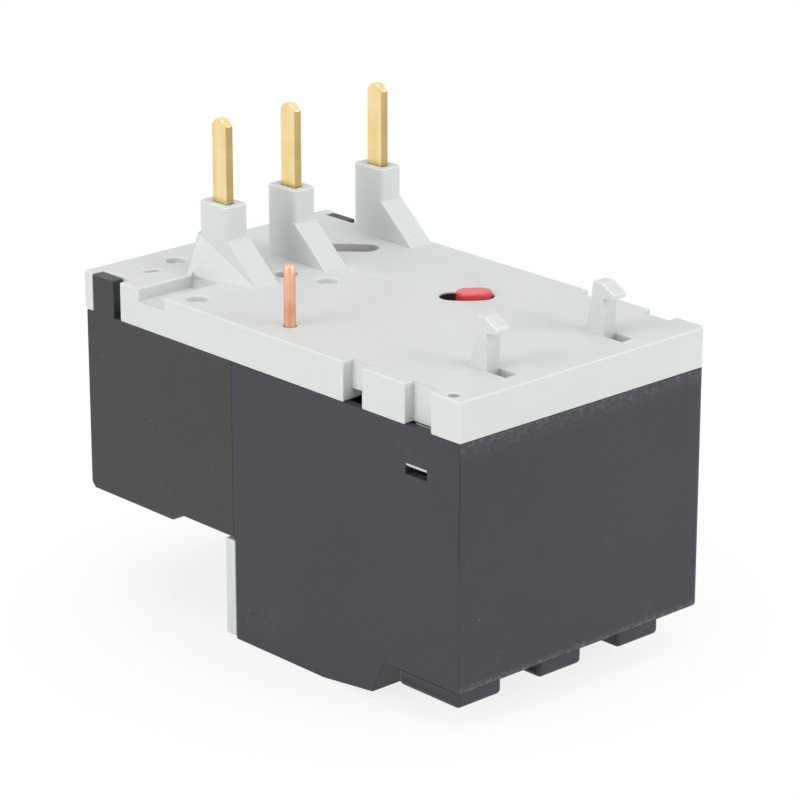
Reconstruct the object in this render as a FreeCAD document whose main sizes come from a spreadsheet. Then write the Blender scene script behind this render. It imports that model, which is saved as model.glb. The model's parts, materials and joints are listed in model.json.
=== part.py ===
import FreeCAD
import Part
import Sketcher
import math
import os

# Thermal overload relay, 45 mm module, that plugs under a contactor.
# Millimetres. +Z is the side that faces the contactor, with the contact pins and the hooks; -Y is the
# front, with the controls; +Y is the rear. The origin is at the bottom centre of the whole relay.
# Every driving size is one cell of the sheet "Sizes", and every feature is bound to those cells.

doc = FreeCAD.newDocument("thermal_overload_relay")
sheet = doc.addObject("Spreadsheet::Sheet", "Sizes")
AXES = {"X": FreeCAD.Vector(1, 0, 0), "Y": FreeCAD.Vector(0, 1, 0), "Z": FreeCAD.Vector(0, 0, 1)}
PLANES = {"X": "YZ_Plane", "Y": "XZ_Plane", "Z": "XY_Plane"}
TOLERANCE = 0.01
nodes = []


# ---------------------------------------------------------------- sizes and formulas

class Size:
    """A value together with the sheet formula that gives it."""

    def __init__(self, value, formula):
        self.value = value
        self.formula = formula

    def __add__(self, other):
        other = as_size(other)
        return Size(self.value + other.value, "(%s + %s)" % (self.formula, other.formula))

    def __sub__(self, other):
        other = as_size(other)
        return Size(self.value - other.value, "(%s - %s)" % (self.formula, other.formula))

    def __mul__(self, other):
        other = as_size(other)
        return Size(self.value * other.value, "(%s * %s)" % (self.formula, other.formula))

    def __truediv__(self, other):
        other = as_size(other)
        return Size(self.value / other.value, "(%s / %s)" % (self.formula, other.formula))

    def __neg__(self):
        return Size(-self.value, "(0 - %s)" % self.formula)

    def __radd__(self, other):
        return as_size(other) + self

    def __rsub__(self, other):
        return as_size(other) - self

    def __rmul__(self, other):
        return as_size(other) * self


def as_size(number):
    return number if isinstance(number, Size) else Size(float(number), "(%.6g)" % number)


def sine(angle):
    return Size(math.sin(math.radians(angle.value)), "sin(%s)" % angle.formula)


def cosine(angle):
    return Size(math.cos(math.radians(angle.value)), "cos(%s)" % angle.formula)


def size(name, value):
    """Puts one driving size in the sheet, under its own name."""
    row = len([cell for cell in sheet.getUsedCells() if cell.startswith("A")]) + 1
    sheet.set("A%d" % row, name)
    sheet.set("B%d" % row, str(value))
    sheet.setAlias("B%d" % row, name)
    return Size(float(value), "Sizes." + name)


# Whole relay
width = size("width", 45)
depth = size("depth", 75.75)
seam_height = size("seam_height", 40)
plate_thickness = size("plate_thickness", 5.6)
wall = size("wall", 1.5)
running_gap = size("running_gap", 0.3)
fit_gap = size("fit_gap", 0.1)
embed = size("embed", 0.5)

# Housings: depths are measured from the rear face, setbacks from the front
front_inset = size("front_inset", 0.3)
front_wall = size("front_wall", 1.6)
skirt_flat_depth = size("skirt_flat_depth", 26)
skirt_slope_depth = size("skirt_slope_depth", 16.4)
skirt_slope_rise = size("skirt_slope_rise", 1.1)
skirt_step_depth = size("skirt_step_depth", 14.1)
chamber_underside = size("chamber_underside", 6)
lower_front_height = size("lower_front_height", 14.5)
front_underside = size("front_underside", 13.6)
front_step_rise = size("front_step_rise", 1.2)
front_step_setback = size("front_step_setback", 18.35)
front_step_length = size("front_step_length", 1.8)
terminal_space_depth = size("terminal_space_depth", 20.15)
front_floor_thickness = size("front_floor_thickness", 2.6)
corner_radius = size("corner_radius", 1.2)
small_corner = size("small_corner", 0.75)

# Heater chambers and their ends under the rear
partition_thickness = size("partition_thickness", 1.95)
chamber_front_depth = size("chamber_front_depth", 17.4)
chamber_floor = size("chamber_floor", 7.5)
chamber_margin = size("chamber_margin", 3.6)
foot_block_offset = size("foot_block_offset", 1.1)
foot_block_width = size("foot_block_width", 7.9)
foot_block_length = size("foot_block_length", 11.4)
foot_block_underside = size("foot_block_underside", 3.8)
foot_pocket_floor = size("foot_pocket_floor", 5)

# Bimetal strips and heaters
strip_depth = size("strip_depth", 6.4)
strip_width = size("strip_width", 5)
strip_thickness = size("strip_thickness", 0.9)
strip_clearance = size("strip_clearance", 0.4)
sleeve_bottom = size("sleeve_bottom", 14)
sleeve_height = size("sleeve_height", 15)
sleeve_wall = size("sleeve_wall", 0.4)
winding_gap = size("winding_gap", 0.15)
ribbon_thickness = size("ribbon_thickness", 0.5)
ribbon_height = size("ribbon_height", 1)
ribbon_pitch = size("ribbon_pitch", 1.8)
lead_width = size("lead_width", 0.9)
lead_thickness = size("lead_thickness", 0.7)
lead_depth = size("lead_depth", 10.9)

# Phase bars and their pins
pin_depth = size("pin_depth", 61.8)
pin_right_inset = size("pin_right_inset", 13.7)
pin_middle_x = size("pin_middle_x", -3.6)
pin_left_inset = size("pin_left_inset", 2.6)
pin_width = size("pin_width", 3)
pin_thickness = size("pin_thickness", 1.2)
pin_reach = size("pin_reach", 11.8)
pin_tip_chamfer = size("pin_tip_chamfer", 0.9)
bar_drop = size("bar_drop", 3.4)
bar_height = size("bar_height", 3)
bar_jog_length = size("bar_jog_length", 10)

# Main terminals
terminal_bar_width = size("terminal_bar_width", 5)
terminal_bar_thickness = size("terminal_bar_thickness", 1.2)
terminal_bar_drop = size("terminal_bar_drop", 2.1)
terminal_jog_length = size("terminal_jog_length", 7.5)
terminal_lug_bottom = size("terminal_lug_bottom", 7.55)
tongue_setback = size("tongue_setback", 6.125)
tongue_width = size("tongue_width", 6)
tongue_bottom = size("tongue_bottom", 3)
clamp_width = size("clamp_width", 9.2)
clamp_length = size("clamp_length", 11.1)
clamp_bottom = size("clamp_bottom", 2.6)
clamp_height = size("clamp_height", 8.8)
clamp_wall = size("clamp_wall", 1.4)
clamp_front_reach = size("clamp_front_reach", 3.4)
main_screw_radius = size("main_screw_radius", 2)
main_head_radius = size("main_head_radius", 3.4)
main_head_height = size("main_head_height", 2.2)
main_screw_height = size("main_screw_height", 7)
screw_slot_share = size("screw_slot_share", 0.33)

# Terminal cover
cover_thickness = size("cover_thickness", 2)
cover_gap = size("cover_gap", 0.2)
cover_lift = size("cover_lift", 0.3)
cover_floor_thickness = size("cover_floor_thickness", 1.5)
cover_screw_hole_radius = size("cover_screw_hole_radius", 2.8)
wire_window_width = size("wire_window_width", 5.8)
wire_window_length = size("wire_window_length", 5)

# Auxiliary terminals
link_inset = size("link_inset", 4.8)
link_setback = size("link_setback", 6.625)
link_radius = size("link_radius", 0.8)
link_reach = size("link_reach", 8.4)
link_bend = size("link_bend", 3)
aux_clamp_gap = size("aux_clamp_gap", 0.4)
aux_screw_radius = size("aux_screw_radius", 1.5)
aux_head_radius = size("aux_head_radius", 2.7)
aux_head_height = size("aux_head_height", 1.1)
aux_access_radius = size("aux_access_radius", 2.5)
aux_wire_radius = size("aux_wire_radius", 2)
aux_clamp_width = size("aux_clamp_width", 6.2)
aux_clamp_length = size("aux_clamp_length", 7.6)
aux_clamp_height = size("aux_clamp_height", 5.8)
aux_clamp_wall = size("aux_clamp_wall", 1)
aux_clamp_front = size("aux_clamp_front", 3.1)
aux_tongue_front = size("aux_tongue_front", 4.3)
aux_wire_front = size("aux_wire_front", 6.5)
aux_tongue_width = size("aux_tongue_width", 3.8)
contact_strip_thickness = size("contact_strip_thickness", 0.8)
contact_strip_gap = size("contact_strip_gap", 0.4)
contact_strip_height = size("contact_strip_height", 3)
contact_turn_gap = size("contact_turn_gap", 0.9)
contact_turn_run = size("contact_turn_run", 2.25)
contact_turn_lead = size("contact_turn_lead", 0.75)

# Contacts and their carrier
contact_gap = size("contact_gap", 2)
contact_end_margin = size("contact_end_margin", 0.3)
contact_radius = size("contact_radius", 1.2)
contact_height = size("contact_height", 0.4)
bridge_thickness = size("bridge_thickness", 0.6)
bridge_overhang = size("bridge_overhang", 1.4)
contact_overhang = size("contact_overhang", 2.4)
closed_contact_x = size("closed_contact_x", 0)
open_bridge_x = size("open_bridge_x", -10)
carrier_setback = size("carrier_setback", 9)
carrier_length = size("carrier_length", 2.7)
carrier_height = size("carrier_height", 6)
carrier_left_x = size("carrier_left_x", -11.6)
lug_thickness = size("lug_thickness", 2)
carrier_rib_left_x = size("carrier_rib_left_x", -10.1)
carrier_rib_right_x = size("carrier_rib_right_x", -4.5)

# Trip lever and its slot
lever_pivot_x = size("lever_pivot_x", -14.35)
lever_pivot_setback = size("lever_pivot_setback", 6.475)
lever_radius = size("lever_radius", 9)
lever_slot_angle = size("lever_slot_angle", 48)
lever_slot_half_sweep = size("lever_slot_half_sweep", 11.4)
lever_slot_width = size("lever_slot_width", 4)
lever_rest_angle = size("lever_rest_angle", 6.5)
trip_angle = size("trip_angle", 13)
lever_post_half_sweep = size("lever_post_half_sweep", 5.1)
lever_post_width = size("lever_post_width", 3.4)
lever_post_reach = size("lever_post_reach", 0.7)
lever_thickness = size("lever_thickness", 2.4)
lever_hub_radius = size("lever_hub_radius", 3)
lever_arm_width = size("lever_arm_width", 2.6)
pivot_radius = size("pivot_radius", 1)
pivot_clearance = size("pivot_clearance", 0.05)
pivot_overhang = size("pivot_overhang", 1.2)
pivot_boss_radius = size("pivot_boss_radius", 2.6)
pivot_boss_height = size("pivot_boss_height", 3.2)
fork_margin = size("fork_margin", 0.45)
trip_spring_turns = size("trip_spring_turns", 7)

# Slides, differential lever, compensation strip, adjusting lever
slide_thickness = size("slide_thickness", 2.4)
slide_space = size("slide_space", 1)
slide_spacing = size("slide_spacing", 0.6)
rail_setback = size("rail_setback", 3.725)
rail_width = size("rail_width", 2.2)
finger_width = size("finger_width", 1.3)
finger_length = size("finger_length", 5.6)
return_gap = size("return_gap", 1.7)
trip_travel = size("trip_travel", 1.15)
trip_arm_x = size("trip_arm_x", -0.5)
return_arm_x = size("return_arm_x", 4)
slide_arm_width = size("slide_arm_width", 3)
slide_arm_overhang = size("slide_arm_overhang", 1.6)
differential_setback = size("differential_setback", 7.025)
differential_space = size("differential_space", 0.9)
differential_thickness = size("differential_thickness", 2.2)
differential_tip_x = size("differential_tip_x", -1.9)
differential_pin_radius = size("differential_pin_radius", 0.75)
compensator_x = size("compensator_x", -4)
compensator_thickness = size("compensator_thickness", 0.8)
compensator_width = size("compensator_width", 4.8)
compensator_setback = size("compensator_setback", 1.8)
compensator_overhang = size("compensator_overhang", 2.6)
adjuster_pivot_x = size("adjuster_pivot_x", -7.4)
adjuster_spacing = size("adjuster_spacing", 4.1)
adjuster_setback = size("adjuster_setback", 2.375)
adjuster_rise = size("adjuster_rise", 0.2)
adjuster_thickness = size("adjuster_thickness", 2)
adjuster_bar_width = size("adjuster_bar_width", 2.1)
adjuster_tab_length = size("adjuster_tab_length", 3)

# Controls
control_drop = size("control_drop", 7.8)
fascia_inset = size("fascia_inset", 2.5)
fascia_bottom_drop = size("fascia_bottom_drop", 13.5)
fascia_top_drop = size("fascia_top_drop", 1.4)
fascia_thickness = size("fascia_thickness", 1.2)
fascia_recess = size("fascia_recess", 0.4)
flange_thickness = size("flange_thickness", 1.2)
flange_lip = size("flange_lip", 0.6)
bulkhead_setback = size("bulkhead_setback", 11.875)
bulkhead_thickness = size("bulkhead_thickness", 1.4)
bulkhead_drop = size("bulkhead_drop", 4)
dial_inset = size("dial_inset", 8.9)
dial_radius = size("dial_radius", 5.3)
dial_collar_radius = size("dial_collar_radius", 6.2)
dial_shaft_radius = size("dial_shaft_radius", 2)
dial_slot_width = size("dial_slot_width", 1.4)
dial_slot_below = size("dial_slot_below", 3.2)
dial_slot_above = size("dial_slot_above", 4.5)
cam_radius = size("cam_radius", 2.8)
cam_offset = size("cam_offset", 0.6)
cam_length = size("cam_length", 2.4)
button_hole_gap = size("button_hole_gap", 0.2)
collar_thickness = size("collar_thickness", 1)
reset_spacing = size("reset_spacing", 8.4)
reset_radius = size("reset_radius", 3.25)
reset_collar_radius = size("reset_collar_radius", 4.2)
reset_shaft_radius = size("reset_shaft_radius", 1.9)
test_inset = size("test_inset", 6.9)
test_radius = size("test_radius", 2.6)
test_collar_radius = size("test_collar_radius", 3.4)
test_shaft_radius = size("test_shaft_radius", 1.5)
shaft_overhang = size("shaft_overhang", 4.1)
button_front_reach = size("button_front_reach", 0.3)
spring_wire = size("spring_wire", 0.5)
button_spring_turns = size("button_spring_turns", 5)
flag_window_x = size("flag_window_x", -2.1)
flag_window_width = size("flag_window_width", 3.4)
flag_window_height = size("flag_window_height", 3)
flag_width = size("flag_width", 6)
flag_thickness = size("flag_thickness", 0.8)

# Plate details
column_width = size("column_width", 4)
column_length = size("column_length", 6)
column_height = size("column_height", 10.2)
column_corner = size("column_corner", 0.8)
gusset_height = size("gusset_height", 5.5)
gusset_length = size("gusset_length", 6.4)
flare = size("flare", 2.4)
pin_slot_gap = size("pin_slot_gap", 0.25)
tab_notch_depth = size("tab_notch_depth", 2)
tab_notch_front = size("tab_notch_front", 1.75)
tab_notch_length = size("tab_notch_length", 6.1)
tab_length = size("tab_length", 4.5)
tab_height = size("tab_height", 5.4)
relief_depth = size("relief_depth", 21.9)
relief_length = size("relief_length", 3.6)
relief_inset = size("relief_inset", 1.7)
relief_opening = size("relief_opening", 3.4)
snap_relief_depth = size("snap_relief_depth", 10.2)
snap_relief_length = size("snap_relief_length", 4.8)
snap_relief_inset = size("snap_relief_inset", 1.6)
snap_slot_depth = size("snap_slot_depth", 10.15)
snap_slot_length = size("snap_slot_length", 4.05)
snap_slot_drop = size("snap_slot_drop", 6.6)
snap_slot_height = size("snap_slot_height", 1.5)
snap_arm_thickness = size("snap_arm_thickness", 1)
snap_nose_height = size("snap_nose_height", 0.67)
snap_nose_inset = size("snap_nose_inset", 0.5)
top_pocket_inner_x = size("top_pocket_inner_x", 12.8)
top_pocket_setback = size("top_pocket_setback", 11.85)
top_pocket_length = size("top_pocket_length", 5.6)
top_pocket_sink = size("top_pocket_sink", 1.8)
hook_x = size("hook_x", 10.6)
hook_width = size("hook_width", 2.4)
hook_stem_depth = size("hook_stem_depth", 9.6)
hook_stem_length = size("hook_stem_length", 3.2)
hook_height = size("hook_height", 7.2)
hook_nose = size("hook_nose", 1.8)
hook_lean = size("hook_lean", 1.2)
hook_crown_inset = size("hook_crown_inset", 0.35)
hook_lip = size("hook_lip", 0.7)
hook_barb = size("hook_barb", 2.2)
hook_slot_width = size("hook_slot_width", 2.2)
hook_slot_length = size("hook_slot_length", 3.2)
underside_relief = size("underside_relief", 3.2)
underside_border = size("underside_border", 4.1)
underside_rear_depth = size("underside_rear_depth", 12)
mark_sink = size("mark_sink", 0.8)
mark_radius = size("mark_radius", 1.5)
front_mark_x = size("front_mark_x", 10.1)
front_mark_inset = size("front_mark_inset", 5.075)
side_mark_inset = size("side_mark_inset", 3.2)
side_mark_setback = size("side_mark_setback", 6.925)
middle_mark_x = size("middle_mark_x", 0.9)
middle_mark_setback = size("middle_mark_setback", 12.625)
vent_x = size("vent_x", 3)
vent_setback = size("vent_setback", 6.325)
vent_radius = size("vent_radius", 1.6)
tool_hole_side_inset = size("tool_hole_side_inset", 1.6)
tool_hole_rear_inset = size("tool_hole_rear_inset", 2.775)
tool_hole_radius = size("tool_hole_radius", 0.8)
long_slot_front_x = size("long_slot_front_x", -10.5)
long_slot_front_setback = size("long_slot_front_setback", 1.325)
long_slot_rear_x = size("long_slot_rear_x", -13.5)
long_slot_rear_setback = size("long_slot_rear_setback", 4.325)
long_slot_width = size("long_slot_width", 4)
tick_left_inset = size("tick_left_inset", 7.5)
tick_left_spacing = size("tick_left_spacing", 4.975)
tick_right_inset = size("tick_right_inset", 6.1)
tick_right_spacing = size("tick_right_spacing", 5.475)
tick_width = size("tick_width", 1)

doc.recompute()

# Places across the relay
side = width / 2
inner_side = side - wall
phase_pitch = (inner_side * 2 + partition_thickness) / 3
chamber_reach = phase_pitch - partition_thickness - chamber_margin
phase_x = inner_side - chamber_margin
middle_phase_x = phase_x - phase_pitch
phases = [phase_x, middle_phase_x, phase_x - phase_pitch * 2]
pin_right_x = side - pin_right_inset
pins = [pin_right_x, pin_middle_x, pin_left_inset - side]
terminals = [phase_pitch, phase_pitch * 0, -phase_pitch]
link_x = side - link_inset
aux_pitch = link_x / 2
aux_terminals = [aux_pitch * place for place in (-2, -1, 0, 1, 2)]
fascia_half_width = side - fascia_inset
dial_x = dial_inset - side
test_x = side - test_inset
reset_x = test_x - reset_spacing

# Places along the relay, from the rear face, the joint of the two housings and the front
rear = depth / 2
front = -rear
chamber_front = rear - chamber_front_depth
chamber_rear = rear - wall
strip_y = rear - strip_depth
lead_y = rear - lead_depth
pin_y = rear - pin_depth
rail_front_y = chamber_front + rail_setback
bar_jog_end = chamber_front - running_gap
bar_jog_start = bar_jog_end - bar_jog_length
front_face = front + front_inset
inner_front = front_face + front_wall
flange_front = inner_front
flange_rear = flange_front + flange_thickness
collar_front = flange_rear + running_gap
bulkhead_front_y = front + bulkhead_setback
bulkhead_rear = bulkhead_front_y + bulkhead_thickness
shaft_tip_y = bulkhead_rear + shaft_overhang
carrier_front_y = bulkhead_rear + carrier_setback
carrier_rear_y = carrier_front_y + carrier_length
contact_front_y = carrier_front_y - contact_overhang
contact_rear_y = carrier_rear_y + contact_overhang
bridge_front_y = contact_front_y - bridge_overhang
bridge_rear_y = contact_rear_y + bridge_overhang
adjuster_pivot_y = carrier_rear_y + adjuster_spacing
split_y = adjuster_pivot_y + adjuster_setback
lever_pivot_y = split_y + lever_pivot_setback
link_y = split_y + link_setback
differential_y = split_y + differential_setback
slide_arm_tip_y = differential_y - slide_arm_overhang
compensator_front_y = adjuster_pivot_y + compensator_setback
compensator_rear_y = differential_y + compensator_overhang
skirt_front = split_y + running_gap
tongue_y = skirt_front + tongue_setback
wire_window_y = tongue_y + terminal_bar_thickness + cover_gap

# Levels, from the joint of the plate down to the floors, then up from the floors
plate_top = seam_height + plate_thickness
column_top = plate_top + column_height
gusset_top = plate_top + gusset_height
pin_tip_height = column_top + pin_reach
link_top = plate_top + link_reach
lever_post_top = plate_top + lever_post_reach
snap_slot_bottom = seam_height - snap_slot_drop
control_height = seam_height - control_drop
fascia_bottom = seam_height - fascia_bottom_drop
fascia_top = seam_height - fascia_top_drop
bulkhead_top = seam_height - bulkhead_drop
adjuster_underside = control_height + adjuster_rise
bar_underside = seam_height - bar_drop
strip_top = bar_underside - strip_clearance
trip_slide_underside = bar_underside - slide_space - slide_thickness
return_slide_underside = trip_slide_underside - slide_spacing - slide_thickness
differential_underside = return_slide_underside - differential_space - differential_thickness
terminal_roof = lower_front_height - cover_gap
mechanism_floor = terminal_roof + wall
terminal_bar_underside = terminal_roof - terminal_bar_drop
front_floor = front_underside + front_floor_thickness
aux_screw_height = front_floor + aux_clamp_gap + aux_clamp_height / 2
contact_strip_underside = aux_screw_height + aux_clamp_height / 2 + contact_strip_gap
link_level = contact_strip_underside + contact_strip_height / 2
carrier_underside = contact_strip_underside - wall
lug_top = carrier_underside + carrier_height + lug_thickness
lever_underside = lug_top + running_gap
pivot_top = lever_underside + lever_thickness + pivot_overhang
carrier_travel = contact_gap - fit_gap / 2
lever_arm = carrier_travel / sine(trip_angle)


# ---------------------------------------------------------------- tools for building sub-parts

def bind(item, name, length):
    item.setExpression(name, as_size(length).formula)


def start(label):
    """A new PartDesign body that becomes one sub-part."""
    body = doc.addObject("PartDesign::Body", label)
    body.Label = label
    nodes.append(body)
    return body


def blank_sketch(body, axis, level):
    """A sketch square to an axis, at that level along it; its x and y follow the row's axes."""
    sketch = body.newObject("Sketcher::SketchObject", "Outline")
    plane = [item for item in body.Origin.OriginFeatures if item.Role == PLANES[axis]][0]
    sketch.AttachmentSupport = [(plane, "")]
    sketch.MapMode = "FlatFace"
    level = as_size(level)
    bind(sketch, "AttachmentOffset.Base.z", -level if axis == "Y" else level)
    return sketch


def fix_point(sketch, geometry, point, place):
    """Ties one point of the sketch to its two distances from the sketch's origin."""
    for kind, length in zip(("DistanceX", "DistanceY"), place):
        length = as_size(length)
        number = sketch.addConstraint(Sketcher.Constraint(kind, -1, 1, geometry, point, length.value))
        sketch.setExpression("Constraints[%d]" % number, length.formula)


def draw_polygon(sketch, points):
    corners = [FreeCAD.Vector(as_size(u).value, as_size(v).value, 0) for u, v in points]
    first = sketch.GeometryCount
    for index, corner in enumerate(corners):
        sketch.addGeometry(Part.LineSegment(corner, corners[(index + 1) % len(corners)]))
    for index, place in enumerate(points):
        following = first + (index + 1) % len(points)
        sketch.addConstraint(Sketcher.Constraint("Coincident", first + index, 2, following, 1))
        fix_point(sketch, first + index, 1, place)


def draw_rectangle(sketch, low_u, high_u, low_v, high_v):
    draw_polygon(sketch, [(low_u, low_v), (high_u, low_v), (high_u, high_v), (low_u, high_v)])


def draw_circle(sketch, u, v, radius):
    centre = FreeCAD.Vector(as_size(u).value, as_size(v).value, 0)
    number = sketch.addGeometry(Part.Circle(centre, AXES["Z"], as_size(radius).value))
    fix_point(sketch, number, 3, (u, v))
    last = sketch.addConstraint(Sketcher.Constraint("Radius", number, as_size(radius).value))
    sketch.setExpression("Constraints[%d]" % last, as_size(radius).formula)


def draw_slot(sketch, first, second, width):
    """Straight slot with round ends, from one end centre to the other."""
    ends = [FreeCAD.Vector(as_size(u).value, as_size(v).value, 0) for u, v in (first, second)]
    run = ends[1] - ends[0]
    turn = math.atan2(run.y, run.x)
    half = as_size(width).value / 2
    across = FreeCAD.Vector(-math.sin(turn) * half, math.cos(turn) * half, 0)
    base = sketch.GeometryCount
    sketch.addGeometry(Part.LineSegment(ends[0] - across, ends[1] - across))
    circle = Part.Circle(ends[1], AXES["Z"], half)
    sketch.addGeometry(Part.ArcOfCircle(circle, turn - math.pi / 2, turn + math.pi / 2))
    sketch.addGeometry(Part.LineSegment(ends[1] + across, ends[0] + across))
    circle = Part.Circle(ends[0], AXES["Z"], half)
    sketch.addGeometry(Part.ArcOfCircle(circle, turn + math.pi / 2, turn + math.pi * 3 / 2))
    for one, other in ((0, 1), (1, 2), (2, 3), (3, 0)):
        sketch.addConstraint(Sketcher.Constraint("Tangent", base + one, 2, base + other, 1))
    fix_point(sketch, base + 1, 3, second)
    fix_point(sketch, base + 3, 3, first)
    last = sketch.addConstraint(Sketcher.Constraint("Radius", base + 1, half))
    sketch.setExpression("Constraints[%d]" % last, (as_size(width) / 2).formula)


def lever_point(angle, radius):
    """A point at an angle and a distance from the trip lever's pivot."""
    return (lever_pivot_x + radius * cosine(angle), lever_pivot_y + radius * sine(angle))


def draw_lever_sector(sketch, low_angle, high_angle, inner, outer):
    """Part of a ring about the trip lever's pivot, between two angles and two radii."""
    pivot = FreeCAD.Vector(lever_pivot_x.value, lever_pivot_y.value, 0)
    turns = [math.radians(angle.value) for angle in (low_angle, high_angle)]
    base = sketch.GeometryCount
    for radius in (inner, outer):
        circle = Part.Circle(pivot, AXES["Z"], radius.value)
        sketch.addGeometry(Part.ArcOfCircle(circle, turns[0], turns[1]))
    for angle in (low_angle, high_angle):
        ends = [FreeCAD.Vector(*[length.value for length in lever_point(angle, radius)], 0)
                for radius in (inner, outer)]
        sketch.addGeometry(Part.LineSegment(ends[0], ends[1]))
    for arc, radius in enumerate((inner, outer)):
        fix_point(sketch, base + arc, 3, (lever_pivot_x, lever_pivot_y))
        last = sketch.addConstraint(Sketcher.Constraint("Radius", base + arc, radius.value))
        sketch.setExpression("Constraints[%d]" % last, radius.formula)
        for end, angle in enumerate((low_angle, high_angle)):
            line_end = (base + 2 + end, arc + 1)
            sketch.addConstraint(Sketcher.Constraint("Coincident", base + arc, end + 1, *line_end))
            steep = abs(math.sin(turns[end])) > abs(math.cos(turns[end]))
            length = lever_point(angle, radius)[0 if steep else 1]
            kind = "DistanceX" if steep else "DistanceY"
            last = sketch.addConstraint(Sketcher.Constraint(kind, -1, 1, *line_end, length.value))
            sketch.setExpression("Constraints[%d]" % last, length.formula)


def lever_arc(body, kind, low, high, middle_angle, half_sweep, breadth):
    """Adds or cuts a form with round ends along the arc that the trip lever's post follows."""
    angles = [middle_angle - half_sweep, middle_angle + half_sweep]
    extrude(body, kind, "Z", low, high,
            lambda sketch: draw_lever_sector(sketch, angles[0], angles[1], lever_radius - breadth / 2,
                                             lever_radius + breadth / 2))
    for angle in angles:
        u, v = lever_point(angle, lever_radius)
        extrude(body, kind, "Z", low, high, lambda sketch: draw_circle(sketch, u, v, breadth / 2))


def extrude(body, kind, axis, low, high, draw):
    """Pads or pockets what draw puts in a sketch, from low to high along an axis."""
    sketch = blank_sketch(body, axis, high if axis == "Y" else low)
    draw(sketch)
    feature = body.newObject("PartDesign::" + kind, kind)
    feature.Profile = sketch
    feature.Reversed = kind == "Pocket"
    bind(feature, "Length", as_size(high) - low)
    body.Tip = feature
    return feature


def pad(body, axis, low, high, points):
    return extrude(body, "Pad", axis, low, high, lambda sketch: draw_polygon(sketch, points))


def loft(body, axis, stages):
    """Adds a form that changes evenly from one outline to the next; each stage is a level and an outline."""
    sketches = []
    for level, points in stages:
        sketches.append(blank_sketch(body, axis, level))
        draw_polygon(sketches[-1], points)
    feature = body.newObject("PartDesign::AdditiveLoft", "Loft")
    feature.Profile = sketches[0]
    feature.Sections = sketches[1:]
    feature.Ruled = True
    body.Tip = feature


def pocket(body, axis, low, high, points):
    return extrude(body, "Pocket", axis, low, high, lambda sketch: draw_polygon(sketch, points))


def add_box(body, low, high):
    """Adds a box between two corners."""
    points = [(low[0], low[1]), (high[0], low[1]), (high[0], high[1]), (low[0], high[1])]
    return pad(body, "Z", low[2], high[2], points)


def cut_boxes(body, boxes, low, high):
    """Cuts boxes (low x, high x, low y, high y) that share their two heights."""
    return extrude(body, "Pocket", "Z", low, high,
                   lambda sketch: [draw_rectangle(sketch, *box) for box in boxes])


def add_rod(body, axis, low, high, u, v, radius):
    return extrude(body, "Pad", axis, low, high, lambda sketch: draw_circle(sketch, u, v, radius))


def cut_holes(body, axis, low, high, holes):
    """Cuts round holes (u, v, radius) along an axis."""
    return extrude(body, "Pocket", axis, low, high,
                   lambda sketch: [draw_circle(sketch, *hole) for hole in holes])


def round_edges(body, radius, wanted, axis="Z"):
    """Rounds the straight edges along an axis whose two ends both meet the test."""
    doc.recompute()
    base = body.Tip
    names = []
    for index, edge in enumerate(base.Shape.Edges):
        ends = [vertex.Point for vertex in edge.Vertexes]
        if len(ends) < 2 or (ends[1] - ends[0]).cross(AXES[axis]).Length > TOLERANCE:
            continue
        if all(wanted(end) for end in ends):
            names.append("Edge%d" % (index + 1))
    fillet = body.newObject("PartDesign::Fillet", "Fillet")
    fillet.Base = (base, names)
    bind(fillet, "Radius", radius)
    body.Tip = fillet
    return fillet


def near(number, length):
    return abs(number - as_size(length).value) < TOLERANCE


def strip_outline(route, thickness):
    """Outline of a sheet strip seen edge on: a route of points with its thickness shared either side."""
    half = as_size(thickness) / 2
    left = []
    right = []
    for index, (u, v) in enumerate(route):
        before = route[max(index - 1, 0)]
        after = route[min(index + 1, len(route) - 1)]
        du = as_size(after[0]).value - as_size(before[0]).value
        dv = as_size(after[1]).value - as_size(before[1]).value
        length = math.hypot(du, dv)
        left.append((u - half * (dv / length), v + half * (du / length)))
        right.append((u + half * (dv / length), v - half * (du / length)))
    return left + right[::-1]


def collect(label, items):
    """Groups identical, separate solids in one sub-part."""
    group = doc.addObject("Part::Compound", label)
    group.Label = label
    group.Links = items
    nodes.append(group)
    return group


def place(item, x, y, z):
    for letter, length in zip("xyz", (x, y, z)):
        bind(item, "Placement.Base." + letter, length)


def cylinder(radius, height, x, y, z, axis):
    """A round primitive that starts at a point and runs along +X, +Y or +Z."""
    item = doc.addObject("Part::Cylinder", "Round")
    bind(item, "Radius", radius)
    bind(item, "Height", height)
    item.Placement.Rotation = FreeCAD.Rotation(AXES["Z"], AXES[axis])
    place(item, x, y, z)
    return item


def box(length, breadth, height, x, y, z):
    """A box primitive with its low corner at a point."""
    item = doc.addObject("Part::Box", "Block")
    bind(item, "Length", length)
    bind(item, "Width", breadth)
    bind(item, "Height", height)
    place(item, x, y, z)
    return item


def fuse(items):
    item = doc.addObject("Part::MultiFuse", "Joined")
    item.Shapes = items
    return item


def cut(base, tool):
    item = doc.addObject("Part::Cut", "Cut")
    item.Base = base
    item.Tool = tool
    return item


def keep(label, item):
    """Makes a primitive or boolean result one sub-part."""
    item.Label = label
    nodes.append(item)
    return item


# ---------------------------------------------------------------- shells

def side_notches():
    """Notches in the plate's long edges: distance of the rear end from the rear face, length, inset."""
    tab_rear = front + tab_notch_front + tab_notch_length
    return [(rear - snap_relief_depth + snap_relief_length, snap_relief_length, snap_relief_inset),
            (rear - relief_depth + relief_length, relief_length, relief_inset),
            (tab_rear, tab_notch_length, tab_notch_depth)]


def plate_outline():
    """Right-hand edge from rear to front, then the same mirrored."""
    right = [(side, rear)]
    for notch_rear, length, inset in side_notches():
        right.append((side, notch_rear))
        right.append((side - inset, notch_rear))
        right.append((side - inset, notch_rear - length))
        right.append((side, notch_rear - length))
    right.append((side, front))
    left = [(-x, y) for x, y in right[::-1]]
    return right + left


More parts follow.
